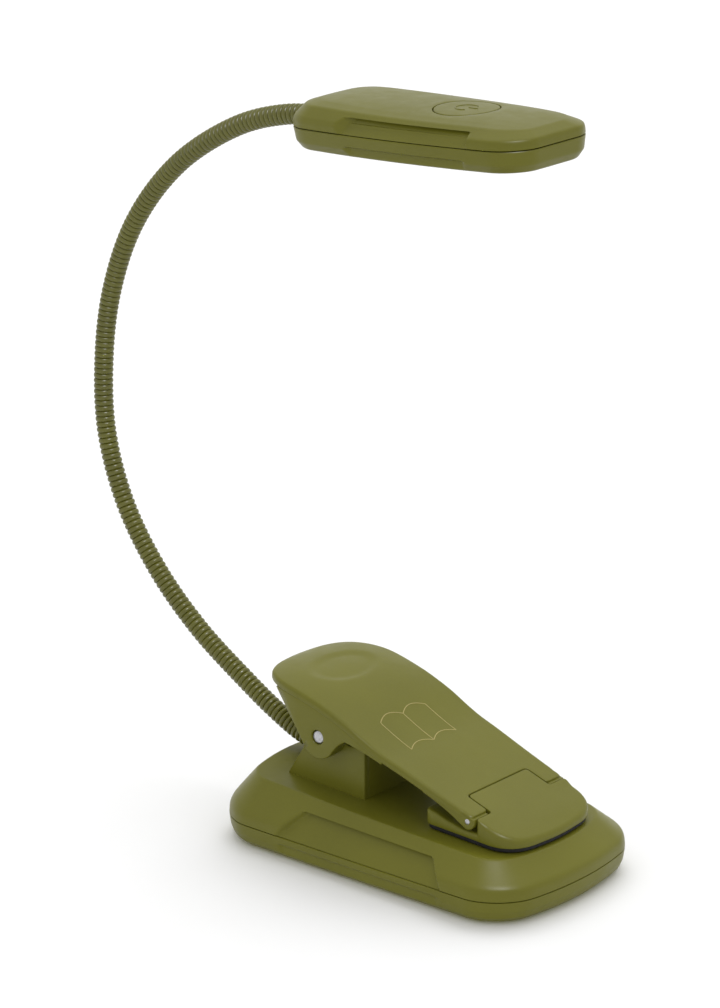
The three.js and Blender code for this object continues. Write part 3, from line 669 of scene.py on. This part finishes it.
def scooped(rings, shell, flat, leads, cut, lean=(0, 0), soft=0.35):
    """Rings with a hollow cut into both long sides. At height z the cut's floor lies cut(z) inside the widest
    outline; past the ends of `flat` it comes back out in straight slopes of lengths `leads`, which start lean
    further out per mm below the deepest height. The wall is the deeper of the two, eased where they meet."""
    x, y, z = rings[..., 0], rings[..., 1], rings[..., 2]
    bow = 2 * shell["side_bow"] / shell["width"] * (2 * x / shell["length"]) ** 2
    widest = shell["width"] / 2 * (1 - bow)
    heights, floors = np.array(cut).T
    drop = np.maximum(heights[np.argmax(floors)] - z, 0)
    rear = (flat[0] - lean[0] * drop - x) / leads[0]
    front = (x - flat[1] - lean[1] * drop) / leads[1]
    floor = np.interp(z, heights, floors) - np.maximum(np.maximum(rear, front), 0) * floors.max()
    depth = widest - np.abs(y)
    along_side = (np.abs(x) < shell["length"] * 0.4) & (depth < floors.max() + 1)
    moved = rings.copy()
    moved[..., 1] = np.where(along_side, np.sign(y) * (widest - soft_max(depth, floor, soft)), y)
    return moved


def base_slope(x, z):
    """What the base's sloping top adds to a height: nothing below the band, all of it at the top."""
    return BASE_SLOPE * x * np.clip((z - BASE_BAND) / (BASE_TOP - BASE_BAND), 0, 1)


def base_top(x, y=None):
    """Height of the base's sloping top."""
    return BASE_TOP + BASE_SLOPE * np.asarray(x, float)


def upper_base():
    """Upper shell: outer wall with a soft band, a chamfer up to the top, an inner wall 2 mm in, and an opening
    in the top for the pedestal's well. The rear wall starts higher over the USB socket."""
    edge = BASE["width"] / 2 - BASE["corner"]
    marks = [s * v / edge for v in (USB_HALF_WIDTH, USB_HALF_WIDTH + 0.04) for s in (-1, 1)]
    columns = shell_columns(extra_ends=marks)
    signs, directions = columns
    notch = (directions[:, 0] < -0.999) & (np.abs(signs[:, 1]) * edge < USB_HALF_WIDTH + 0.02)
    foot = BASE_SPLIT + BASE_GAP / 2
    chamfer = [(0.2, BASE_BAND), (BASE_TOP_INSET, BASE_TOP), (BASE_TOP_INSET + 2.2, BASE_TOP)]
    outer = rounded([(WALL, foot), (0, foot), *chamfer], [0, 0.16, 4.6, 0.8, 0], 0.2, closed=False)
    inner = rounded(
        [(BASE_TOP_INSET + 1, BASE_TOP - WALL), (WALL + 0.3, BASE_BAND - 0.6), (WALL, foot)],
        [0, 1, 0], 1, closed=False,
    )
    share = np.linspace(0, 1, 400)
    rise = along_profile(outer, share)[1]
    lift = share[np.argmax(rise > USB_TOP)]
    outside = shell_wall(BASE, columns, outer, 62, start=np.where(notch, lift, 0))
    inner_rise = along_profile(inner[::-1], share)[1]
    inner_lift = share[np.argmax(inner_rise > USB_TOP)]
    inside_wall = shell_wall(BASE, columns, inner[::-1], 8, start=np.where(notch, inner_lift, 0))[::-1]
    cut = [(0, -2), (6.1, 0.35), (11.1, 4.0), (12.3, 4.8), (13.0, 1.8), (13.3, -2), (20, -9)]
    outside = scooped(outside, BASE, (-16.5, 21.5), (5, 3), cut, (1.1, 0.85), 0.45)
    rings = np.concatenate([inside_wall, outside])
    rings[..., 2] += base_slope(rings[..., 0], rings[..., 2])
    rings[0, :, 2] = base_top(rings[0, :, 0]) - WALL
    across = PEDESTAL_INNER - 0.3
    well = rectangle(-27, PEDESTAL_FRONT - 2, -across, across, 0.5, 2, clockwise=True)
    under = lambda x, y: base_top(x) - WALL
    well_rings = [np.column_stack([well, height(*well.T)]) for height in (under, base_top)]
    return [
        stack(rings),
        stack(well_rings),
        sheet([rings[-1][:, :2], well], 3, base_top),
        sheet([rings[0][:, :2], well], 4, under, up=False),
    ]


def lower_base():
    """Lower shell: a tray whose wall leans out to the split, with a pressed band along both sides, a sunk bed
    for the rubber pad and four screw sinks."""
    columns = shell_columns()
    rim = BASE_SPLIT - BASE_GAP / 2
    foot = [(4.4, BASE_BOTTOM), (2.2, BASE_BOTTOM), (0.9, BASE_BOTTOM + 1.3), (0.3, BASE_BOTTOM + 3)]
    outer = rounded([*foot, (0, rim), (WALL, rim)], [0, 1.2, 1.2, 1.2, 0.16, 0], 0.2, closed=False)
    inner = np.array([(WALL, rim), (WALL + 1.2, BASE_BOTTOM + WALL)])
    outside = shell_wall(BASE, columns, outer, 48)
    band = [(0, 1.2), (3.9, 0.95), (4.3, 0.1), (4.5, -1), (9, -9)]
    outside = scooped(outside, BASE, (-22, 25), (3, 3), band, soft=0.25)
    inside_wall = shell_wall(BASE, columns, inner, 5)
    rings = np.concatenate([outside, inside_wall])
    length, width, corner, bed = PAD_RECESS
    pad = rectangle(-length / 2, length / 2, -width / 2, width / 2, corner, 2, clockwise=True)
    sinks = [circle(x, y, SCREW_SINK, 32, clockwise=True) for x, y in SCREW_PLACES]
    floor = BASE_BOTTOM + WALL
    rise = lambda loop, z0, z1: [np.column_stack([loop, np.full(len(loop), z)]) for z in (z0, z1)]
    return [
        stack(rings),
        sheet([rings[0][:, :2], pad, *sinks], 4, level(BASE_BOTTOM), up=False),
        stack(rise(pad, BASE_BOTTOM, bed)),
        sheet([pad[::-1]], 5, level(bed), up=False),
        *[stack(rise(sink, BASE_BOTTOM, floor)) for sink in sinks],
        sheet([rings[-1][:, :2], *sinks], 4, level(floor)),
    ]


piece("base_upper", upper_base(), olive, "base", ["base_upper_shell"])
piece("base_lower", lower_base(), olive, "base", ["base_lower_shell"])


# ---------------------------------------------------------------- pedestal and pins

def pin_arc(pin, radius, start, end, count=24):
    """Arc about a pin in the side view, angles in half turns."""
    angle = np.linspace(start, end, count) * math.pi
    return np.stack([pin[0] + radius * np.cos(angle), pin[1] + radius * np.sin(angle)], 1)


def spaced(line, step):
    """Closed line cut to even steps."""
    closed = np.vstack([line, line[:1]])
    along = np.concatenate([[0], np.cumsum(np.linalg.norm(np.diff(closed, axis=0), axis=1))])
    at = np.linspace(0, along[-1], max(int(along[-1] / step), 8), endpoint=False)
    return np.stack([np.interp(at, along, closed[:, k]) for k in range(2)], 1)


def pedestal():
    """Two cheeks with a lobe round the main pin, a front wall, a shelf behind it, and a slanting rear wall
    that the neck comes through."""
    corners = [
        (MAIN_PIN[0] - PEDESTAL_LOBE - 0.9, 27), (-33.0, PEDESTAL_FOOT), (PEDESTAL_FRONT, PEDESTAL_FOOT),
        (PEDESTAL_FRONT, PEDESTAL_TOP), (MAIN_PIN[0] + PEDESTAL_LOBE + 1.5, PEDESTAL_TOP),
    ]
    sides = rounded(corners, [0, 0, 0, 1.2, 0], 0.8, closed=False)
    outline = spaced(np.vstack([sides, pin_arc(MAIN_PIN, PEDESTAL_LOBE, 0.0, 0.98)]), 0.5)
    cheek = slab([outline], level(PEDESTAL_INNER), level(PEDESTAL_SIDE), 0.35, spacing=2)
    far_cheek = slab([outline], level(-PEDESTAL_SIDE), level(-PEDESTAL_INNER), 0.35, spacing=2)
    front = rectangle(PEDESTAL_FRONT - 2, PEDESTAL_FRONT - 0.02, PEDESTAL_FOOT, PEDESTAL_TOP - 0.3, 0.4, 1)
    low, high = np.array([(-32.8, 14.1), (-23.7, 27.35)])
    slant = (high - low) / math.hypot(*(high - low))
    inward = np.array([slant[1], -slant[0]]) * 2
    rear = rounded([low, low + inward, high + inward, high], 0.35, 1)
    shelf = rectangle(PEDESTAL_FRONT - 4.6, PEDESTAL_FRONT - 1, 17, 18.6, 0.2, 1)
    across = PEDESTAL_INNER + 0.6
    walls = []
    for loop in (front, rear, shelf):
        walls += slab([loop], level(-across), level(across), 0.1, spacing=3)
    return upright(cheek + far_cheek + walls)


def pin(place, radius, half, dome):
    """Round pin across the lamp, its ends slightly domed and their rims rounded."""
    rim = 0.25 * radius
    end = np.array([
        (0, half + dome), (radius * 0.5, half + dome * 0.75), (radius - rim, half),
        (radius - rim * 0.3, half - rim * 0.4), (radius, half - rim),
    ])
    return upright(lathe(np.vstack([end * (1, -1), end[::-1]]), *place, count=48))


piece("pedestal", pedestal(), olive, "base", ())
piece("pivot_pin", pin(MAIN_PIN, MAIN_PIN_RADIUS, 18.25, 0.12), steel, "base", ["main_pin"])
piece("jaw_hinge_pin", pin(JAW_PIN, JAW_PIN_RADIUS, 17.48, 0.08), steel, "lever", ["jaw_pin"])


# ---------------------------------------------------------------- lever

lever_line = smooth_curve(LEVER_TOP_LINE)[0]


def lever_plane(x):
    """Height of the lever's upper face along its middle."""
    return np.interp(x, lever_line[:, 0], lever_line[:, 1])


def thumb_fall(x, y):
    """How far the thumb end falls away towards its sides."""
    return 1.7 * (1 - smoothstep(-22, -4, x)) * (np.abs(y) / LEVER_WIDE) ** 2.4


def lever_top(x, y):
    """The upper face: crowned across the thumb end, with a shallow oval dish pressed into it."""
    crowned = lever_plane(x) - thumb_fall(x, y)
    reach = np.hypot((x - DIMPLE_X) / DIMPLE_LONG, y / DIMPLE_WIDE)
    return crowned - DIMPLE_DEPTH * (1 - smoothstep(0.66, 1.0, reach))


def bezier(a, b, c, d, count):
    """Cubic Bezier curve from a to d, with handles b and c."""
    t = np.linspace(0, 1, count)[:, None]
    a, b, c, d = (np.array(p, float) for p in (a, b, c, d))
    return (1 - t) ** 3 * a + 3 * t * (1 - t) ** 2 * b + 3 * t**2 * (1 - t) * c + t**3 * d


def lever_side_line():
    """The far side of the lever's plan, from the front to the middle of the thumb end."""
    rear, wide = LEVER_REAR, LEVER_WIDE
    shoulder, turn = (rear + 16, wide - 0.4), (rear + 1.2, wide - 11)
    corner = bezier(shoulder, (rear + 7, wide - 0.9), (rear + 2.5, wide - 5), turn, 26)
    tip = bezier(turn, (rear + 0.6, wide - 14.5), (rear + 0.4, 2.2), (rear + 0.4, 0), 12)[1:]
    straight = rounded([(LEVER_FRONT, LEVER_NARROW), (-6, wide), shoulder], [0, 8, 0], 1.0, closed=False)
    return np.vstack([straight, corner[1:], tip])


def lever_loop():
    """The whole plan as one anticlockwise outline of even steps, its corners rounded."""
    side = lever_side_line()
    near = (side * (1, -1))[::-1]
    notch = [(LEVER_FRONT, -NOTCH_HALF), (NOTCH_REAR, -NOTCH_HALF)]
    notch += [(x, -y) for x, y in notch[::-1]]
    start, end = near[-1] - (2.5, 0), side[0] - (2.5, 0)
    radii = [0, 1.0, 0.8, 1.2, 1.2, 0.8, 1.0, 0]
    mouth = rounded([start, near[-1], *notch, side[0], end], radii, 0.5, closed=False)
    keep_side = side[side[:, 0] < end[0]]
    keep_near = near[near[:, 0] < start[0]]
    return spaced(np.vstack([mouth, keep_side, keep_near[1:]]), 0.55)


lever_far_edge = lever_side_line()
lever_far_edge = lever_far_edge[np.argsort(lever_far_edge[:, 0])]


def lever_half(x):
    """Half the lever's width at x."""
    return np.interp(x, lever_far_edge[:, 0], lever_far_edge[:, 1])


def cheek_outline():
    """Side view of a cheek: it hangs from the plate and ends in a lobe round the main pin."""
    back = np.linspace(2, -32, 18)
    under_rim = lever_plane(back) - thumb_fall(back, LEVER_WIDE) - 1.5

    def bend(start, corner, end, count):
        """Curve that leaves start towards the corner and comes in to end from it."""
        a, b, c = (np.array(p, float) for p in (start, corner, end))
        return bezier(a, a + (b - a) * (2 / 3), c + (b - c) * (2 / 3), c, count)

    left = (MAIN_PIN[0] - CHEEK_LOBE + 0.2, MAIN_PIN[1] + 0.8)
    arc = pin_arc(MAIN_PIN, CHEEK_LOBE, 1.0, 1.78)
    return spaced(np.vstack([
        bend((-33, 39.1), (-25.2, 35.2), left, 16),
        arc,
        bend(arc[-1], (-12.0, 29.6), (-9.2, 31.0), 10),
        bend((-9.2, 31.0), (-4, 30.2), (2, 28.0), 8),
        np.column_stack([back, under_rim]),
    ]), 0.5)


def arm_outline():
    """Side view of a front arm: a rib under the plate that ends in a lobe round the jaw's pin."""
    def below(x, depth):
        """Point under the lever's face."""
        return x, float(lever_plane(x)) - depth

    bend = bezier(below(14, 2.1), below(19, 2.1), (22.6, 20.5), (JAW_PIN[0] - 1.3, JAW_PIN[1] - 1.6), 14)
    arc = pin_arc(JAW_PIN, ARM_LOBE, 1.3, 2.12)
    return spaced(np.vstack([bend, arc, [below(28, 0.5), below(20, 0.8), below(14, 0.8)]]), 0.4)


def lever_rim(x, y):
    """Radius of the plate's upper rim: soft along the sides, crisp in the mouth for the jaw's tongue."""
    ahead = smoothstep(NOTCH_REAR - 1.5, NOTCH_REAR - 0.2, x)
    within = 1 - smoothstep(LEVER_NARROW - 1.2, LEVER_NARROW - 0.3, np.abs(y))
    return 0.85 - 0.67 * ahead * within


def lever_underside(x, y):
    """The lower face, one thickness under the upper one but without its dish."""
    return lever_plane(x) - LEVER_THICKNESS - thumb_fall(x, y)


def clip_lever():
    """The plate, and on each side a cheek round the main pin and an arm round the jaw's pin."""
    plate = slab([lever_loop()], lever_underside, lever_top, lever_rim, 0.4, spacing=0.8, arc=7)
    pin_hole = circle(*MAIN_PIN, MAIN_PIN_RADIUS + 0.06, 40, clockwise=True)
    jaw_hole = circle(*JAW_PIN, JAW_PIN_RADIUS + 0.1, 32, clockwise=True)
    outer = lambda x, z: lever_half(x) - 0.05
    cheek = slab([cheek_outline(), pin_hole], level(CHEEK_INSIDE), outer, 0.3, spacing=1.5)
    arm = slab([arm_outline(), jaw_hole], level(NOTCH_HALF + 0.4), outer, 0.3, spacing=1.5)
    near = upright(cheek + arm)
    return plate + near + mirrored(near)


piece("lever", clip_lever(), olive, "lever", ["clip_lever"], sharp=40)


def drawn(line, face, sink, radius, sides):
    """A thin round line laid along a face, its middle sunk a little under it."""
    return tube(np.column_stack([line, face(*line.T) - sink]), radius, sides, (0, 0, 1))


def open_book():
    """Outline of an open book on the lever: two pages with arched heads and feet that meet at a spine."""
    middle, page, high = np.array((-1.0, -1.0)), 8.4, 9.6
    t, edge = np.linspace(0, 1, 24), np.linspace(-0.5, 0.5, 12)
    arch = 1.5 * np.sin(math.pi * t) ** 0.9
    lines = []
    for side in (-1, 1):
        for foot in (-0.5, 0.5):
            lines.append(np.stack([high * foot - arch, side * page * t], 1))
        lines.append(np.stack([high * edge, np.full(12, side * page)], 1))
    lines.append(np.stack([high * edge, np.zeros(12)], 1))
    parts = []
    for line in lines:
        parts += drawn(middle + line, lever_top, 0.07, 0.14, 10)
    return parts


piece("book_mark", open_book(), tan_line, "lever", ())


# ---------------------------------------------------------------- jaw

def jaw_nose(inset):
    """Front of the jaw's plan, from the near side to the far one: large round corners and a bowed edge."""
    half, nose = JAW_HALF - inset, JAW_FRONT - inset
    turn = (nose - 0.75, half - 8)
    corner = bezier((nose - 8.5, half), (nose - 4.2, half - 0.2), (nose - 1.4, half - 3.0), turn, 16)
    tip = bezier(turn, (nose - 0.35, half - 11.5), (nose - 0.1, 3), (nose - 0.1, 0), 8)[1:]
    far = np.vstack([corner, tip])
    return np.vstack([far * (1, -1), far[::-1][1:]])


def jaw_loop(inset):
    """Whole plan of the jaw, with small round tail corners."""
    half, back = JAW_HALF - inset, JAW_REAR + inset
    tail = rounded([(31, half), (back, half), (back, -half), (31, -half)], [0, 2, 2, 0], 0.7, closed=False)
    return spaced(np.vstack([tail, jaw_nose(inset)]), 0.5)


def jaw_floor(above):
    """A height that stays the same distance above the base's top."""
    return lambda x, y: base_top(x) + above


def jaw():
    """A low tail with pockets for the lever's arms, and over it the tongue and nose that carry on the lever's
    face."""
    floor = jaw_floor(JAW_GAP + RUBBER + 0.02)
    low_line = np.array([(13, 20.2), (17, 19.4), (20, 18.4), (25, 17.4), (60, 17.4)])
    tail_front = 31.5
    low = rectangle(JAW_REAR, tail_front, -JAW_HALF + 0.06, JAW_HALF - 0.06, 2.0, 0.5)
    tail = slab([low], floor, lambda x, y: np.minimum(np.interp(x, *low_line.T), 30), 0.7, 0.25, spacing=1.2)
    tongue_rear, pocket_front, tongue_half = NOTCH_REAR + 0.3, 29.3, NOTCH_HALF - 0.3
    far = [
        (tail_front, JAW_HALF), (pocket_front, JAW_HALF),
        (pocket_front, tongue_half), (tongue_rear, tongue_half),
    ]
    near = [(x, -y) for x, y in far[::-1]]
    back = rounded(far + near, [0, 0.8, 0.6, 1.0, 1.0, 0.6, 0.8, 0], 0.5, closed=False)
    body = spaced(np.vstack([back, jaw_nose(0)]), 0.5)

    def face(x, y):
        sides = 0.35 * (np.abs(y) / JAW_HALF) ** 3 * smoothstep(29, 33, x)
        return lever_plane(x) - 0.5 * smoothstep(33, JAW_FRONT, x) ** 2 - sides

    def rim(x, y):
        return 0.2 + 0.85 * smoothstep(pocket_front + 0.6, pocket_front + 3, x)

    upper = slab([body], floor, face, rim, 0.25, spacing=0.9, arc=8)
    return tail + upper


def rubber_strip():
    """Thin rubber under the whole jaw, parallel to the base's top."""
    return slab([jaw_loop(0.35)], jaw_floor(JAW_GAP), jaw_floor(JAW_GAP + RUBBER), 0.15, 0.2, spacing=3)


piece("jaw", jaw(), olive, "jaw", ["jaw_pad"], sharp=40)
piece("jaw_rubber_strip", rubber_strip(), rubber, "jaw", ["jaw_rubber"])


# ---------------------------------------------------------------- gooseneck

neck_curve, neck_along = smooth_curve(NECK_LINE, 120)
neck_length = neck_along[-1]
link = (neck_length - 2 * NECK_STUB) / NECK_LINKS
END_SETBACK = 0.5


def neck_point(along):
    """Point of the neck's centreline at an arc length; past its ends it runs straight."""
    along = np.asarray(along, float)
    x, z = (np.interp(along, neck_along, neck_curve[:, k]) for k in range(2))
    for end, over in ((0, np.minimum(along, 0)), (-1, np.maximum(along - neck_length, 0))):
        step = neck_curve[end] - neck_curve[1 if end == 0 else -2]
        step = step / np.linalg.norm(step) * np.abs(over)[..., None]
        x, z = x + step[..., 0], z + step[..., 1]
    return np.stack([x, np.zeros_like(x), z], -1)


def ribbed(start, end):
    """Wound tube of coils of pitch p. A coil's radius is R - d(1 - |sin(pi s / p)|^0.5) at length s, so that
    round crests stand between sharp valleys."""
    steps = np.array([0, 0.05, 0.13, 0.26, 0.42, 0.58, 0.74, 0.87, 0.95])
    first, last = int(start // RIB_PITCH), int(end // RIB_PITCH) + 1
    along = (np.arange(first, last)[:, None] + steps[None]).ravel() * RIB_PITCH
    along = np.concatenate([[start], along[(along > start + 0.02) & (along < end - 0.02)], [end]])
    crest = np.abs(np.sin(math.pi * along / RIB_PITCH)) ** 0.5
    radius = (NECK_RADIUS - RIB_DEPTH * (1 - crest))[:, None] * np.ones(32)
    return tube(neck_point(along), radius, 32, (0, 1, 0))


def neck_piece(k):
    """The stretch of tube round joint k, from the middle of one link to the middle of the next."""
    joint = NECK_STUB + k * link
    start = max(joint - 0.5 * link, END_SETBACK)
    end = min(joint + 0.5 * link, neck_length - END_SETBACK)
    body = {0: "base", NECK_LINKS: "head"}.get(k)
    replaced = [] if k == NECK_LINKS - 1 else [f"neck_link_{min(k, NECK_LINKS - 1):02d}"]
    made = piece(f"neck_coil_{k:02d}", ribbed(start, end), olive_wire, body, replaced, sharp=70)
    if body is None:
        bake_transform(made)


for joint_number in range(NECK_LINKS + 1):
    neck_piece(joint_number)


# ---------------------------------------------------------------- head

def turn_about(axis, degrees):
    """3x3 matrix of a turn about one axis."""
    return np.array(Matrix.Rotation(math.radians(degrees), 3, axis))


roll, pitch, yaw = HEAD_TURN
HEAD_MATRIX = turn_about("Z", yaw) @ turn_about("Y", pitch) @ turn_about("X", roll)


def on_head(parts):
    """Parts drawn in the head's own frame, put where the head is."""
    return turned(HEAD_MATRIX, HEAD_CENTRE, parts)


def head_crown(x, y):
    """Upper face of the head: a gentle dome, highest in the middle, that falls a little towards the front."""
    across = np.clip(np.abs(y) / (HEAD["width"] / 2 - HEAD_EDGE_INSET), 0, 1.1)
    along = np.clip(np.abs(x) / (HEAD["length"] / 2 - HEAD_EDGE_INSET), 0, 1.1)
    return HEAD_EDGE + HEAD_SLOPE * x + HEAD_CROWN * (1 - across**2.4) * (1 - along**5)


def head_upper():
    """Upper shell: outer wall with a hollow in each side and a soft edge, a crowned top with the button's
    hole, and a plain inner wall."""
    columns = shell_columns(long_cuts=120, end_cuts=44)
    foot = HEAD_GAP / 2
    rim = HEAD_EDGE_INSET + 2.4
    edge_height = HEAD_EDGE + 0.5
    edge = [(0.1, HEAD_BAND), (HEAD_EDGE_INSET - 0.2, HEAD_EDGE - 0.1), (rim, edge_height)]
    outer = rounded([(1.4, foot), (0, foot), *edge], [0, 0.2, 2.0, 2.0, 0], 0.15, closed=False)
    inner = np.array([(rim, HEAD_CAVITY), (1.6, HEAD_BAND), (1.4, foot)])
    outside = shell_wall(HEAD, columns, outer, 56)
    cut = [(-1, -1), (0.3, 0.5), (2.2, 2.1), (3.5, 3.1), (4.0, -0.5), (8, -9)]
    outside = scooped(outside, HEAD, (-12.5, 21.4), (6, 1.6), cut, (0.8, 0.2), 0.25)
    rise = np.clip((outside[..., 2] - HEAD_BAND) / (edge_height - HEAD_BAND), 0, 1)
    outside[..., 1] *= 1 - HEAD_TAPER * outside[..., 0] / (HEAD["width"] / 2) * rise
    crown = head_crown(outside[-1, :, 0], outside[-1, :, 1])
    outside[..., 2] += rise * (crown - outside[-1, :, 2])[None]
    inside_wall = shell_wall(HEAD, columns, inner, 6)
    cavity_lift = np.clip((inside_wall[..., 2] - HEAD_BAND) / (HEAD_CAVITY - HEAD_BAND), 0, 1)
    inside_wall[..., 2] += HEAD_SLOPE * inside_wall[..., 0] * cavity_lift
    rings = np.concatenate([inside_wall, outside])
    hole = circle(BUTTON_X, 0, BUTTON_HOLE, 96, clockwise=True)
    lip = [(0.0, 1.6), (0.0, 0.22), (0.06, 0.07), (0.22, 0.0)]
    hole_rings = []
    for inset, drop in lip:
        loop = offset_loop(hole, inset)
        hole_rings.append(np.column_stack([loop, head_crown(*loop.T) - drop]))
    under = lambda x, y: HEAD_CAVITY + HEAD_SLOPE * x
    hole_rings[0][:, 2] = under(*hole_rings[0][:, :2].T)
    return on_head([
        stack(rings),
        stack(hole_rings),
        sheet([rings[-1][:, :2], hole_rings[-1][:, :2]], 1.3, head_crown),
        sheet([rings[0][:, :2], hole], 3, under, up=False),
    ])


def head_lower():
    """Lower shell: a tray with a pressed band along both sides, the lens window and two screw sinks."""
    columns = shell_columns(long_cuts=120, end_cuts=44)
    rim = -HEAD_GAP / 2
    outer = rounded([(3.2, HEAD_BOTTOM), (1.6, HEAD_BOTTOM), (0.4, HEAD_BOTTOM + 1.9), (0, rim), (1.4, rim)],
                    [0, 1.0, 1.3, 0.22, 0], 0.15, closed=False)
    outside = shell_wall(HEAD, columns, outer, 40)
    band = [(-6, 1.5), (-2.9, 1.2), (-2.6, 0.2), (-2.4, -1), (8, -9)]
    outside = scooped(outside, HEAD, (-13.5, 20.5), (2.5, 1.5), band, soft=0.2)
    inside_wall = shell_wall(HEAD, columns, np.array([(1.4, rim), (2.6, HEAD_FLOOR)]), 4)
    rings = np.concatenate([outside, inside_wall])
    length, width, corner = LENS_WINDOW
    window = rectangle(-length / 2, length / 2, -width / 2, width / 2, corner, 1.5, clockwise=True)
    places = [(HEAD_SCREW_X, -HEAD_SCREW_Y), (HEAD_SCREW_X, HEAD_SCREW_Y)]
    sinks = [circle(x, y, HEAD_SCREW_SINK, 32, clockwise=True) for x, y in places]
    rise = lambda loop: [np.column_stack([loop, np.full(len(loop), z)]) for z in (HEAD_BOTTOM, HEAD_FLOOR)]
    return on_head([
        stack(rings),
        *[stack(rise(loop)) for loop in (window, *sinks)],
        sheet([rings[0][:, :2], window, *sinks], 3, level(HEAD_BOTTOM), up=False),
        sheet([rings[-1][:, :2], window, *sinks], 3, level(HEAD_FLOOR)),
    ])


def button():
    """Round push button: a crowned cap in its hole, a wide flange below, and a raised power symbol."""
    face = lambda x, y: head_crown(x, y) - 0.02
    cap = slab([circle(BUTTON_X, 0, BUTTON_RADIUS, 96)], level(2.8), face, 0.25, 0.1, spacing=1.0)
    flange = slab([circle(BUTTON_X, 0, BUTTON_FLANGE, 64)], level(2.2), level(2.85), 0.1, 0.1, spacing=4)
    angle = np.linspace(0.32, 1.68, 40) * math.pi
    arc = np.stack([BUTTON_X + 2.6 * np.cos(angle), 2.6 * np.sin(angle)], 1)
    bar = np.stack([BUTTON_X + np.linspace(0.7, 3.2, 8), np.zeros(8)], 1)
    parts = cap + flange
    for line in (arc, bar):
        parts += drawn(line, face, 0.05, 0.2, 12)
    return on_head(parts)


piece("head_upper", head_upper(), olive, "head", ["head_upper_shell"])
piece("head_lower", head_lower(), olive, "head", ["head_lower_shell"])
piece("button", button(), olive, "button", ["power_button"])


# ---------------------------------------------------------------- camera, light and floor

def camera():
    """Long lens a little above the lamp, looking across the base's near front corner."""
    data = bpy.data.cameras.new("camera")
    data.lens, data.sensor_width = 111.85, 36
    made = bpy.data.objects.new("camera", data)
    right, up, back = (0.7615, 0.6482, -0.0052), (-0.1849, 0.2250, 0.9567), (0.6213, -0.7275, 0.2912)
    place = (0.4451, -0.5446, 0.3018)
    made.matrix_world = Matrix.Translation(place) @ Matrix((right, up, back)).transposed().to_4x4()
    bpy.context.scene.collection.objects.link(made)
    bpy.context.scene.camera = made


def placed_light(name, kind, place, target, power, **settings):
    """A light at place that faces target."""
    data = bpy.data.lights.new(name, kind)
    data.energy = power
    for setting, value in settings.items():
        setattr(data, setting, value)
    made = bpy.data.objects.new(name, data)
    made.location = place
    made.rotation_euler = (Vector(target) - Vector(place)).to_track_quat("-Z", "Y").to_euler()
    bpy.context.scene.collection.objects.link(made)
    return made


def floor_sheet():
    """Level sheet of pale paper, a grid of squares at height 0."""
    count, half = 9, 3.0
    x, y = np.meshgrid(np.linspace(-half, half, count), np.linspace(-half, half, count))
    points = np.stack([x.ravel(), y.ravel(), np.zeros(x.size)], 1)
    corner = (np.arange(count - 1)[:, None] * count + np.arange(count - 1)[None]).ravel()
    mesh = bpy.data.meshes.new("floor")
    squares = np.stack([corner, corner + 1, corner + count + 1, corner + count], 1)
    mesh.from_pydata(points.tolist(), [], squares.tolist())
    paper = Finish("floor_paper", (0.93, 0.93, 0.93), 0.8, specular=0.1)
    paper.colour(paper.blend(paper.noise(90, 2), (0.92, 0.92, 0.92), (0.94, 0.94, 0.94)))
    mesh.materials.append(paper.material)
    made = bpy.data.objects.new("floor", mesh)
    made.visible_diffuse = False
    bpy.context.scene.collection.objects.link(made)


def surroundings(overhead, below):
    """Even white light from above, and less of it from below, with a smooth change at the horizon."""
    world = bpy.data.worlds.new("studio")
    world.use_nodes = True
    nodes, links = world.node_tree.nodes, world.node_tree.links
    split = nodes.new("ShaderNodeSeparateXYZ")
    links.new(nodes.new("ShaderNodeTexCoord").outputs["Generated"], split.inputs["Vector"])
    change = nodes.new("ShaderNodeMapRange")
    for socket, value in (("From Min", -0.35), ("From Max", 0.35), ("To Min", below), ("To Max", overhead)):
        change.inputs[socket].default_value = value
    links.new(split.outputs["Z"], change.inputs["Value"])
    background = nodes["Background"]
    background.inputs["Color"].default_value = (1, 1, 1, 1)
    links.new(change.outputs["Result"], background.inputs["Strength"])
    bpy.context.scene.world = world


def studio():
    """Pale floor, white surroundings, a wide soft light from above and behind, and a small panel in front."""
    floor_sheet()
    surroundings(0.80, 0.78)
    sun_spread = math.radians(60)
    sun = placed_light("overhead", "SUN", (-0.25, 0.55, 0.95), (0, 0, 0), 1.4, angle=sun_spread)
    sun.visible_glossy = False
    place, target = (0.33, -0.25, 0.85), (-0.02, 0, 0.08)
    panel = placed_light("top_panel", "AREA", place, target, 5.5, shape="SQUARE", size=0.22)
    panel.visible_diffuse = False
    bpy.context.scene.view_settings.view_transform = "Standard"


camera()
studio()
